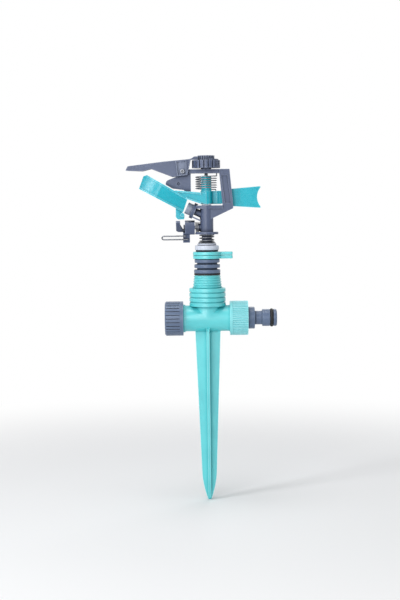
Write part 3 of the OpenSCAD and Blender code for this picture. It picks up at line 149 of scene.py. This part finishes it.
def joined(tree: Tree, kind: str, first: Socket, second: Socket) -> Socket:
    """Join two values, and keep the result between 0 and 1.

    Args:
        tree: Node tree.
        kind: Kind of the sum.
        first: First value.
        second: Second value.

    Returns:
        The result.
    """
    node = tree.nodes.new("ShaderNodeMath")
    node.operation = kind
    node.use_clamp = True
    tree.links.new(first, node.inputs[0])
    tree.links.new(second, node.inputs[1])
    return node.outputs["Value"]


def noise(tree: Tree, waves: float, detail: float = 2.0, place: Socket | None = None) -> Socket:
    """Add a noise texture.

    Args:
        tree: Node tree.
        waves: Waves per unit of its coordinates.
        detail: Octaves.
        place: Coordinates, or none for the generated ones.

    Returns:
        The noise, from 0 to 1.
    """
    node = tree.nodes.new("ShaderNodeTexNoise")
    node.inputs["Scale"].default_value = waves
    node.inputs["Detail"].default_value = detail
    if place is not None:
        tree.links.new(place, node.inputs["Vector"])
    return node.outputs["Fac"]


class Grain(Enum):
    """Surface characters that a finish can have."""

    MOULDED = "moulded"
    RUBBER = "rubber"
    NYLON = "nylon"
    DRAWN = "drawn"

    def waves(self) -> float:
        """Return the waves of the fine grain in a metre."""
        return 600.0 if self is Grain.DRAWN else 1500.0

    def stretch(self) -> Point:
        """Return how the fine grain is stretched."""
        return (1.0, 1.0, 0.12) if self is Grain.DRAWN else (1.0, 1.0, 1.0)

    def bump(self) -> float:
        """Return the strength of the fine grain's relief."""
        return 0.3 if self is Grain.RUBBER else 0.12


@dataclass(frozen=True)
class Finish:
    """One surface finish, made as a node material.

    Attributes:
        name: Name of the material.
        slot: Slot of the record that it belongs to; not used.
        colour: Main colour, in hexadecimal digits.
        shade: Colour of the darker drifts.
        painted_shade: Painted shade colour in hollows, creases and grooves, where shade falls.
        painted_highlight: Painted highlight colour on the outer edges, where light catches them.
        rough: Middle roughness.
        gloss: Strength of the sheen.
        reach_mm: How far hollows reach, for the painted shade and the added roughness.
        grain: Character of the surface.
        drift_waves: Waves of the colour's drift in a metre.
        drift_octaves: Octaves of that noise.
        drift_span: Noise values between the drift's two colours.
        fine_octaves: Octaves of the fine grain.
        hollow_samples: Rays that find the hollows.
        painted_shade_span: Openness between full painted shade and the open colour.
        dull_span: Openness between dull and glossy.
        dull: Roughness that the deepest hollows gain.
        rough_span: Noise values between the smoothest and the roughest spots.
        rough_swing: Roughness taken off and added at these.
        rim_mm: Width of the painted highlight along the outer edges.
        rim_samples: Rays that find these edges.
        rim_span: Openness between plain and painted highlight.
        rim_share: Share of the highlight colour at the sharpest edges.
        relief_mm: Depth of the fine grain.
        bleed_mm: How far light spreads in nylon.
        bleed_share: Share of the light that does so.
    """

    name: str
    slot: str
    colour: str
    shade: str
    painted_shade: str
    painted_highlight: str
    rough: float
    gloss: float
    reach_mm: float
    grain: Grain
    drift_waves: float = 42.0
    drift_octaves: float = 3.0
    drift_span: Span = (0.32, 0.62)
    fine_octaves: float = 4.0
    hollow_samples: int = 24
    painted_shade_span: Span = (0.2, 0.85)
    dull_span: Span = (0.4, 0.95)
    dull: float = 0.4
    rough_span: Span = (0.3, 0.7)
    rough_swing: Span = (-0.06, 0.08)
    rim_mm: float = 0.9
    rim_samples: int = 16
    rim_span: Span = (0.85, 0.45)
    rim_share: float = 0.85
    relief_mm: float = 0.06
    bleed_mm: float = 0.9
    bleed_share: float = 0.12

    def material(self) -> bpy.types.Material:
        """Return the material, made on first use."""
        made = bpy.data.materials.get(self.name)
        return made if made else self._make()

    def _make(self) -> bpy.types.Material:
        """Build the node tree of the finish.

        Returns:
            The new material.
        """
        mat = bpy.data.materials.new(self.name)
        mat.use_nodes = True
        tree = mat.node_tree
        shader = tree.nodes["Principled BSDF"]
        place = tree.nodes.new("ShaderNodeTexCoord").outputs["Object"]
        fine = self._fine_grain(tree, place)
        open_sky = self._openness(tree)
        tree.links.new(self._colour(tree, place, open_sky), shader.inputs["Base Color"])
        tree.links.new(self._roughness(tree, fine, open_sky), shader.inputs["Roughness"])
        tree.links.new(self._relief(tree, fine), shader.inputs["Normal"])
        self._constants(shader)
        return mat

    def _fine_grain(self, tree: Tree, place: Socket) -> Socket:
        """Make the fine grain.

        Args:
            tree: Node tree.
            place: Coordinates on the piece.

        Returns:
            The grain, from 0 to 1.
        """
        stretch = tree.nodes.new("ShaderNodeMapping")
        stretch.inputs["Scale"].default_value = self.grain.stretch()
        tree.links.new(place, stretch.inputs["Vector"])
        return noise(tree, self.grain.waves(), self.fine_octaves, stretch.outputs["Vector"])

    def _openness(self, tree: Tree) -> Socket:
        """Tell open faces, near 1, from hollows, near 0, for the painted shade and the added roughness.

        Args:
            tree: Node tree.

        Returns:
            The openness.
        """
        node = tree.nodes.new("ShaderNodeAmbientOcclusion")
        node.samples = self.hollow_samples
        node.inputs["Distance"].default_value = self.reach_mm * MM
        return node.outputs["AO"]

    def _painted_highlight_share(self, tree: Tree) -> Socket:
        """Find the outer edges, which get a painted highlight.

        Args:
            tree: Node tree.

        Returns:
            Share of the painted highlight colour.
        """
        node = tree.nodes.new("ShaderNodeAmbientOcclusion")
        node.samples = self.rim_samples
        node.inside = True
        node.only_local = True
        node.inputs["Distance"].default_value = self.rim_mm * MM
        return ranged(tree, node.outputs["AO"], self.rim_span, (0.0, self.rim_share))

    def _colour(self, tree: Tree, place: Socket, open_sky: Socket) -> Socket:
        """Colour the random drifts, paint shade into the hollows and paint a highlight on the outer
        edges.

        Args:
            tree: Node tree.
            place: Coordinates on the piece.
            open_sky: Openness of the place.

        Returns:
            The colour.
        """
        drift = ranged(tree, noise(tree, self.drift_waves, self.drift_octaves, place), self.drift_span)
        tint = mixed(tree, drift, self.shade, self.colour)
        # Painted shade: hollows and grooves turn toward the darker colour where shade falls.
        shaded_tint = mixed(tree, ranged(tree, open_sky, self.painted_shade_span), self.painted_shade, tint)
        # Painted highlight: outer edges turn toward a pale colour where light catches them.
        return mixed(tree, self._painted_highlight_share(tree), shaded_tint, self.painted_highlight)

    def _roughness(self, tree: Tree, fine: Socket, open_sky: Socket) -> Socket:
        """Make the roughness, which the grain varies and hollows raise.

        Args:
            tree: Node tree.
            fine: Fine grain.
            open_sky: Openness of the place.

        Returns:
            The roughness.
        """
        ends = (self.rough + self.rough_swing[0], self.rough + self.rough_swing[1])
        dull = ranged(tree, open_sky, self.dull_span, (self.dull, 0.0))
        return joined(tree, "ADD", ranged(tree, fine, self.rough_span, ends), dull)

    def _relief(self, tree: Tree, fine: Socket) -> Socket:
        """Turn the fine grain into relief.

        Args:
            tree: Node tree.
            fine: Fine grain.

        Returns:
            The bumped normal.
        """
        bump = tree.nodes.new("ShaderNodeBump")
        bump.inputs["Strength"].default_value = self.grain.bump()
        bump.inputs["Distance"].default_value = self.relief_mm * MM
        tree.links.new(fine, bump.inputs["Height"])
        return bump.outputs["Normal"]

    def _constants(self, shader: bpy.types.ShaderNode) -> None:
        """Set the sockets that are the same all over.

        Args:
            shader: The principled shader.
        """
        shader.inputs["Specular IOR Level"].default_value = self.gloss
        if self.grain is Grain.DRAWN:
            shader.inputs["Metallic"].default_value = 1.0
        if self.grain is Grain.NYLON:
            shader.inputs["Subsurface Weight"].default_value = self.bleed_share
            shader.inputs["Subsurface Radius"].default_value = (self.bleed_mm * MM,) * 3


# Colours in order: main, random drift, painted shade in hollows, painted highlight on outer edges.
MINT = Finish(
    "mint_plastic", "turquoise_plastic",
    "54cacf", "4ac0c7", "009fa7", "b2ecef", 0.35, 1.0, 4.5, Grain.MOULDED,
)
# Paler copy of the mint plastic, used on the nut as painted sheen.
MINT_PAINTED_SHEEN = Finish(
    "mint_painted_sheen_plastic", "turquoise_plastic",
    "76d0d6", "6cc7ce", "2fa3ae", "aee8ec", 0.38, 0.9, 1.5, Grain.MOULDED,
)
AQUA = Finish(
    "aqua_plastic", "turquoise_plastic",
    "00abbd", "009fb2", "008498", "a2ebf4", 0.26, 0.5, 4.5, Grain.MOULDED,
)
SLATE = Finish(
    "slate_plastic", "grey_plastic",
    "485470", "3e4a66", "0d1119", "8a94ab", 0.36, 0.5, 6.0, Grain.MOULDED,
)
SMOKE = Finish(
    "smoke_plastic", "grey_plastic",
    "5b6c88", "51627e", "171e2b", "8d9bb3", 0.36, 0.5, 3.5, Grain.MOULDED,
)
PEWTER = Finish(
    "pewter_plastic", "grey_plastic",
    "868e9e", "7a8296", "1b212b", "b0b8c6", 0.28, 0.6, 5.0, Grain.MOULDED,
)
COAL = Finish(
    "coal_plastic", "dark_plastic",
    "33383f", "2b3037", "0c0e11", "4a5059", 0.5, 0.5, 4.0, Grain.MOULDED,
)
SEAL = Finish(
    "seal_rubber", "black_rubber",
    "17181b", "101114", "060607", "1e2023", 0.62, 0.4, 4.0, Grain.RUBBER,
)
BONE = Finish(
    "bone_nylon", "white_nylon",
    "c6ccda", "bbc3d2", "6a7283", "d9dee8", 0.42, 0.5, 4.0, Grain.NYLON,
)
STEEL = Finish(
    "bright_wire", "spring_steel",
    "777a80", "686b71", "17191c", "888b92", 0.27, 0.5, 3.0, Grain.DRAWN,
)


@dataclass(frozen=True)
class EdgeRound:
    """Rounding of moulded edges by modifiers, which leave the CAD mesh alone.

    Attributes:
        width_mm: Width of the rounding.
        segments: Steps of the rounding.
        weld_mm: Distance at which doubled points join.
        flat_deg: Bend up to which triangles are one face.
        sharp_deg: Bend from which an edge is rounded.
        weight: How much large faces rule the shading.
    """

    width_mm: float
    segments: int = 2
    weld_mm: float = 0.004
    flat_deg: float = 0.4
    sharp_deg: float = 33.0
    weight: int = 60

    def apply_to(self, obj: bpy.types.Object) -> None:
        """Add the modifiers.

        Args:
            obj: The node's object.
        """
        weld = obj.modifiers.new("weld", "WELD")
        weld.merge_threshold = self.weld_mm * MM
        plane = obj.modifiers.new("planes", "DECIMATE")
        plane.decimate_type = "DISSOLVE"
        plane.angle_limit = math.radians(self.flat_deg)
        bevel = obj.modifiers.new("edges", "BEVEL")
        bevel.width = self.width_mm * MM
        bevel.segments = self.segments
        bevel.limit_method = "ANGLE"
        bevel.angle_limit = math.radians(self.sharp_deg)
        bevel.miter_outer = "MITER_ARC"
        obj.data.polygons.foreach_set("use_smooth", [True] * len(obj.data.polygons))
        normals = obj.modifiers.new("normals", "WEIGHTED_NORMAL")
        normals.weight = self.weight


class SubAssembly:
    """Pieces that belong together."""

    @staticmethod
    def finish(obj: bpy.types.Object, finish: Finish) -> None:
        """Give a piece one finish all over."""
        obj.data.materials.clear()
        obj.data.materials.append(finish.material())

    def dress(self, name: str, finish: Finish, edge_mm: float = 0.0) -> None:
        """Dress a CAD node, which keeps its shape.

        Args:
            name: Name of the node.
            finish: Its finish.
            edge_mm: Rounding of its edges, if any.
        """
        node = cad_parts[name]
        self.finish(node, finish)
        if edge_mm:
            EdgeRound(edge_mm).apply_to(node)
        LOG.info("%s: %s in %s", type(self).__name__, name, finish.name)


@dataclass
class GroundBase(SubAssembly):
    """Spike with tee and neck, the bearing holder in it and the rings on top.

    Attributes:
        spike_edge_mm: Edges of the spike, tee and neck.
        holder_edge_mm: Edges of the bearing holder.
        seal_edge_mm: Edges of the neck's seal.
        collar_edge_mm: Edges of the stop collars.
        collar_washer_edge_mm: Edges of the ring over the collars.
        spacer_edge_mm: Edges of the white spacer.
        thrust_edge_mm: Edges of the thrust washer.
        spring_washer_edge_mm: Edges of the washer under the spring.
    """

    spike_edge_mm: float = 0.45
    holder_edge_mm: float = 0.5
    seal_edge_mm: float = 0.4
    collar_edge_mm: float = 0.4
    collar_washer_edge_mm: float = 0.3
    spacer_edge_mm: float = 0.6
    thrust_edge_mm: float = 0.4
    spring_washer_edge_mm: float = 0.25

    def build(self) -> None:
        """Dress the nodes."""
        self.dress("spike_base", MINT, self.spike_edge_mm)
        self.dress("bearing_nipple", SMOKE, self.holder_edge_mm)
        self.dress("neck_seal", SEAL, self.seal_edge_mm)
        self.dress("lower_stop_collar", MINT, self.collar_edge_mm)
        self.dress("upper_stop_collar", MINT, self.collar_edge_mm)
        self.dress("collar_washer", COAL, self.collar_washer_edge_mm)
        self.dress("bearing_spacer", BONE, self.spacer_edge_mm)
        self.dress("thrust_washer", BONE, self.thrust_edge_mm)
        self.dress("spring_washer", COAL, self.spring_washer_edge_mm)
        self.dress("bearing_tube", SLATE)
        self.dress("tube_seal", SEAL)
        self.dress("tube_washer", BONE)


@dataclass
class WaterWay(SubAssembly):
    """End cap on one end of the tee, hose plug with its nut on the other.

    Attributes:
        cap_edge_mm: Edges of the cap.
        nut_edge_mm: Edges of the nut.
        plug_edge_mm: Edges of the hose plug.
    """

    cap_edge_mm: float = 0.35
    nut_edge_mm: float = 0.25
    plug_edge_mm: float = 0.35

    def build(self) -> None:
        """Dress the nodes."""
        self.dress("end_cap", SMOKE, self.cap_edge_mm)
        self.dress("end_cap_washer", SEAL)
        self.dress("inlet_nut", MINT_PAINTED_SHEEN, self.nut_edge_mm)
        self.dress("inlet_nipple", SMOKE, self.plug_edge_mm)
        self.dress("nipple_o_ring", SEAL)
        self.dress("inlet_washer", SEAL)


@dataclass
class Head(SubAssembly):
    """Head with its nozzle, flap and range knob.

    Attributes:
        body_edge_mm: Edges of the head's moulding.
        nozzle_edge_mm: Edges of the nozzle.
        flap_edge_mm: Edges of the flap.
        screw_edge_mm: Edges of the flap's screw.
        knob_edge_mm: Edges of the knob.
    """

    body_edge_mm: float = 0.45
    nozzle_edge_mm: float = 0.35
    flap_edge_mm: float = 0.4
    screw_edge_mm: float = 0.3
    knob_edge_mm: float = 0.3

    def build(self) -> None:
        """Dress the nodes."""
        self.dress("head_body", SLATE, self.body_edge_mm)
        self.dress("nozzle", PEWTER, self.nozzle_edge_mm)
        self.dress("arm_pivot_pin", STEEL)
        self.dress("arm_washer", BONE)
        self.dress("deflector", SLATE, self.flap_edge_mm)
        self.dress("deflector_screw", STEEL, self.screw_edge_mm)
        self.dress("range_knob", SLATE, self.knob_edge_mm)


@dataclass
class Arm(SubAssembly):
    """Arm that the jet swings.

    Attributes:
        edge_mm: Edges of the arm.
    """

    edge_mm: float = 0.6

    def build(self) -> None:
        """Dress the node."""
        self.dress("impact_arm", AQUA, self.edge_mm)


@dataclass
class Trip(SubAssembly):
    """Rocker that turns the head back, with its wire.

    Attributes:
        lever_edge_mm: Edges of the rocker.
        pin_edge_mm: Edges of its pin.
    """

    lever_edge_mm: float = 0.5
    pin_edge_mm: float = 0.3

    def build(self) -> None:
        """Dress the nodes."""
        self.dress("trip_lever", SLATE, self.lever_edge_mm)
        self.dress("trip_pin", STEEL, self.pin_edge_mm)
        self.dress("trip_wire", STEEL)


def sweep(name: str, path: list[Vector], radius: float, sides: int = 12) -> bpy.types.Object:
    """Make a round wire along a path.

    Args:
        name: Name of the piece.
        path: Points along the wire's middle.
        radius: Radius of the wire.
        sides: Sides of its section.

    Returns:
        The new object.
    """
    mesh = bmesh.new()
    side = (path[1] - path[0]).orthogonal().normalized()
    rings = []
    for i, point in enumerate(path):
        ahead = (path[min(i + 1, len(path) - 1)] - path[max(i - 1, 0)]).normalized()
        side = (side - ahead * side.dot(ahead)).normalized()
        over = ahead.cross(side)
        ring = []
        for k in range(sides):
            a = math.tau * k / sides
            ring.append(mesh.verts.new(point + (side * math.cos(a) + over * math.sin(a)) * radius))
        rings.append(ring)
    for low, high in zip(rings, rings[1:]):
        for k in range(sides):
            n = (k + 1) % sides
            mesh.faces.new((low[k], low[n], high[n], high[k]))
    mesh.faces.new(list(reversed(rings[0])))
    mesh.faces.new(rings[-1])
    for face in mesh.faces:
        face.smooth = len(face.verts) == 4
    data = bpy.data.meshes.new(name)
    mesh.to_mesh(data)
    mesh.free()
    obj = bpy.data.objects.new(name, data)
    bpy.context.scene.collection.objects.link(obj)
    return obj


def soften(path: list[Vector], rounds: int = 2) -> list[Vector]:
    """Round the corners of a path by cutting each in turn.

    Args:
        path: Points of the path.
        rounds: How often its corners are cut.

    Returns:
        The rounded path.
    """
    near, far = 0.25, 0.75
    for _ in range(rounds):
        cut = [path[0]]
        for a, b in zip(path, path[1:]):
            cut += [a.lerp(b, near), a.lerp(b, far)]
        path = cut + [path[-1]]
    return path


@dataclass(frozen=True)
class Coil:
    """Turns of a steel spring round the Z axis.

    Attributes:
        wire_mm: Diameter of its wire.
        turns: Number of turns.
        start_deg: Where its lower end stands.
        rest: Share of a turn that lies flat at each end.
        leg_mm: Lengths of the straight lower and upper ends.
        per_turn: Points in a turn.
    """

    wire_mm: float
    turns: float
    start_deg: float = 0.0
    rest: float = 0.0
    leg_mm: Span = (0.0, 0.0)
    per_turn: int = 28

    def points(self, radius: float, low: float, high: float) -> list[Vector]:
        """Place the turns.

        Args:
            radius: Radius of the wire's middle.
            low: Height of the lower end.
            high: Height of the upper end.

        Returns:
            Points from the lower to the upper end.
        """
        count = math.ceil(self.turns * self.per_turn)
        climb = self.turns - 2 * self.rest
        points = []
        for i in range(count + 1):
            turn = self.turns * i / count
            rise = min(max(turn - self.rest, 0.0), climb) / climb
            angle = math.radians(self.start_deg) + math.tau * turn
            height = low + (high - low) * rise
            points.append(Vector((radius * math.cos(angle), radius * math.sin(angle), height)))
        return points

    def between(self, low: Vector, high: Vector) -> list[Vector]:
        """Place the turns and the straight ends in a box.

        Args:
            low: Lowest corner of the box.
            high: Highest corner of the box.

        Returns:
            Points along the whole wire.
        """
        wire = self.wire_mm * MM
        lift = [leg * MM if leg else wire / 2 for leg in self.leg_mm]
        path = self.points((high.x - low.x) / 2 - wire / 2, low.z + lift[0], high.z - lift[1])
        if self.leg_mm[0]:
            path.insert(0, Vector((path[0].x, path[0].y, low.z)))
        if self.leg_mm[1]:
            path.append(Vector((path[-1].x, path[-1].y, high.z)))
        return soften(path)


@dataclass
class Springs(SubAssembly):
    """The three steel springs, each in the place of its CAD solid.

    Attributes:
        bearing: Spring under the head.
        arm: Spring that brings the arm back.
        arm_fixed_mm: Length at the arm spring's top that would stay with the head; not used.
        arm_moved_mm: Length at its bottom that would go with the arm; not used.
        trip: Spring next to the rocker, which lies along X.
    """

    bearing: Coil = Coil(1.1, 3, rest=0.4)
    arm: Coil = Coil(1.0, 6 - 24.1 / 360, 24.1, leg_mm=(1.3, 2.5))
    arm_fixed_mm: float = 2.5
    arm_moved_mm: float = 1.5
    trip: Coil = Coil(0.7, 3)

    def build(self) -> None:
        """Make the springs, and hang the bearing and trip springs on the head."""
        low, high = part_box("bearing_spring")
        bearing = self._wire("bearing_spring", self.bearing, self.bearing.between(low, high))
        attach(bearing, "head")
        low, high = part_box("arm_spring")
        arm = self._wire("arm_spring", self.arm, self.arm.between(low, high))
        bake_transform(arm)
        trip = self._wire("trip_spring", self.trip, self._lying(*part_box("trip_spring")))
        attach(trip, "head")

    def _lying(self, low: Vector, high: Vector) -> list[Vector]:
        """Place the trip spring's turns along X.

        Args:
            low: Lowest corner of its box.
            high: Highest corner of its box.

        Returns:
            Points along the wire.
        """
        wire = self.trip.wire_mm * MM
        middle = (low + high) / 2
        ends = (high.x - wire / 2, low.x + wire / 2)
        turns = self.trip.points((high.z - low.z) / 2 - wire / 2, *ends)
        return [Vector((p.z, middle.y + p.y, middle.z + p.x)) for p in turns]

    def _wire(self, node: str, coil: Coil, path: list[Vector]) -> bpy.types.Object:
        """Make a spring's wire.

        Args:
            node: CAD node that it stands for.
            coil: The spring.
            path: Points along its wire.

        Returns:
            The piece.
        """
        piece = sweep(node + "_wire", path, coil.wire_mm * MM / 2)
        self.finish(piece, STEEL)
        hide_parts(node)
        LOG.info("%s: %s", type(self).__name__, piece.name)
        return piece


@dataclass(frozen=True)
class Lamp:
    """One area lamp of the studio.

    Attributes:
        name: Name of the lamp.
        place: Where it hangs, in metres.
        aim: Point that it looks at, in metres.
        wide: Width in metres.
        high: Height in metres.
        watts: Power.
    """

    name: str
    place: Point
    aim: Point
    wide: float
    high: float
    watts: float

    def build(self) -> None:
        """Hang the lamp."""
        data = bpy.data.lights.new(self.name, "AREA")
        data.shape = "RECTANGLE"
        data.size, data.size_y = self.wide, self.high
        data.energy = self.watts
        lamp = bpy.data.objects.new(self.name, data)
        bpy.context.scene.collection.objects.link(lamp)
        lamp.location = self.place
        lamp.visible_camera = False
        lamp.rotation_euler = (Vector(self.aim) - Vector(self.place)).to_track_quat("-Z", "Y").to_euler()


LAMPS = (
    Lamp("key_lamp", (-0.38, -1.25, 0.3), (0.0, 0.0, 0.05), 0.75, 0.85, 8.4),
    Lamp("side_lamp", (-1.05, -0.75, 0.55), (0.0, 0.0, 0.06), 0.3, 0.6, 6.4),
    Lamp("fill_lamp", (1.3, -0.8, 0.3), (0.0, 0.0, 0.04), 0.8, 0.8, 1.4),
    Lamp("top_lamp", (-0.15, -0.1, 1.3), (0.0, 0.0, 0.1), 0.7, 0.7, 6.6),
    Lamp("back_lamp", (0.5, 1.2, 0.7), (0.0, 0.0, 0.05), 1.0, 1.0, 5.5),
)


@dataclass
class Studio:
    """Floor, lamps, white surround and camera.

    Attributes:
        view_mm: Height of the picture at the spin axis.
        distance_mm: Distance of the camera.
        rise_deg: How far the camera looks down.
        roll_deg: How far the camera leans.
        aim_mm: Point in the middle of the picture.
        sensor_mm: Size of the camera's sensor.
        clip_m: Nearest and farthest distance that the camera shows.
        floor_half_m: Half the side of the floor.
        floor_drop_m: Gap between the spike's point and the floor.
        floor_tints: Colours of the floor.
        floor_waves: Waves of their mix over the floor.
        floor_rough: Roughness of the floor.
        floor_fade_m: Distances between which the floor fades into the surround.
        sky: Strength of the surround's light on the object.
    """

    view_mm: float = 570.0
    distance_mm: float = 1150.0
    rise_deg: float = 4.0
    roll_deg: float = -0.7
    aim_mm: Point = (-7.2, 0.0, 34.4)
    sensor_mm: float = 36.0
    clip_m: Span = (0.05, 20.0)
    floor_half_m: float = 3.0
    floor_drop_m: float = 0.0005
    floor_tints: tuple[str, str] = ("f1f2f4", "f4f5f6")
    floor_waves: float = 6.0
    floor_rough: float = 0.9
    floor_fade_m: Span = (0.25, 0.7)
    sky: float = 0.27

    def build(self) -> None:
        """Set up the whole studio."""
        bpy.context.scene.view_settings.view_transform = "Standard"
        self._camera()
        self._floor()
        for lamp in LAMPS:
            lamp.build()
        self._world()

    def _camera(self) -> None:
        """Place the camera at the photograph's angle."""
        data = bpy.data.cameras.new("camera")
        data.sensor_width = self.sensor_mm
        data.lens = self.sensor_mm * self.distance_mm / self.view_mm
        data.clip_start, data.clip_end = self.clip_m
        cam = bpy.data.objects.new("camera", data)
        bpy.context.scene.collection.objects.link(cam)
        rise = math.radians(self.rise_deg)
        back = Vector((0.0, -math.cos(rise), math.sin(rise)))
        turn = (-back).to_track_quat("-Z", "Y").to_matrix().to_4x4()
        lean = Matrix.Rotation(math.radians(self.roll_deg), 4, "Z")
        place = Vector(self.aim_mm) * MM + back * self.distance_mm * MM
        cam.matrix_world = Matrix.Translation(place) @ turn @ lean
        bpy.context.scene.camera = cam

    def _floor(self) -> None:
        """Lay the pale floor."""
        half, z = self.floor_half_m, CAD_BOX[0].z - self.floor_drop_m
        data = bpy.data.meshes.new("floor")
        corners = [(-half, -half, z), (half, -half, z), (half, half, z), (-half, half, z)]
        data.from_pydata(corners, [], [(0, 1, 2, 3)])
        data.materials.append(self._paper())
        floor = bpy.data.objects.new("floor", data)
        bpy.context.scene.collection.objects.link(floor)

    def _paper(self) -> bpy.types.Material:
        """Make the floor's material, which keeps the shadow and fades into the surround.

        Returns:
            The new material.
        """
        mat = bpy.data.materials.new("pale_paper")
        mat.use_nodes = True
        tree = mat.node_tree
        paper = tree.nodes["Principled BSDF"]
        paper.inputs["Roughness"].default_value = self.floor_rough
        paper.inputs["Specular IOR Level"].default_value = 0.0
        tint = mixed(tree, noise(tree, self.floor_waves), *self.floor_tints)
        tree.links.new(tint, paper.inputs["Base Color"])
        away = tree.nodes.new("ShaderNodeVectorMath")
        away.operation = "LENGTH"
        tree.links.new(tree.nodes.new("ShaderNodeTexCoord").outputs["Object"], away.inputs[0])
        fade = ranged(tree, away.outputs["Value"], self.floor_fade_m, kind="SMOOTHSTEP")
        white = tree.nodes.new("ShaderNodeEmission")
        blend = tree.nodes.new("ShaderNodeMixShader")
        tree.links.new(joined(tree, "MULTIPLY", fade, self._looked_at(tree)), blend.inputs["Fac"])
        tree.links.new(paper.outputs["BSDF"], blend.inputs[1])
        tree.links.new(white.outputs["Emission"], blend.inputs[2])
        tree.links.new(blend.outputs["Shader"], tree.nodes["Material Output"].inputs["Surface"])
        return mat

    def _world(self) -> None:
        """Show a white surround, which lights the object only a little."""
        world = bpy.data.worlds.new("studio")
        bpy.context.scene.world = world
        world.use_nodes = True
        tree = world.node_tree
        surround = tree.nodes["Background"]
        surround.inputs["Color"].default_value = (1.0, 1.0, 1.0, 1.0)
        level = ranged(tree, self._looked_at(tree), (0.0, 1.0), (self.sky, 1.0))
        tree.links.new(level, surround.inputs["Strength"])

    @staticmethod
    def _looked_at(tree: Tree) -> Socket:
        """Tell the rays that show the surround from the rays that light the object.

        Args:
            tree: Node tree.

        Returns:
            A value of 1 for camera, glossy and transmission rays.
        """
        rays = tree.nodes.new("ShaderNodeLightPath").outputs
        shown = joined(tree, "MAXIMUM", rays["Is Camera Ray"], rays["Is Glossy Ray"])
        return joined(tree, "MAXIMUM", shown, rays["Is Transmission Ray"])


def main() -> None:
    """Build the sub-assemblies and the studio in order."""
    logging.basicConfig(level=logging.INFO, format="%(message)s")
    for part in (GroundBase(), WaterWay(), Head(), Arm(), Trip(), Springs(), Studio()):
        part.build()


if __name__ == "__main__":
    main()
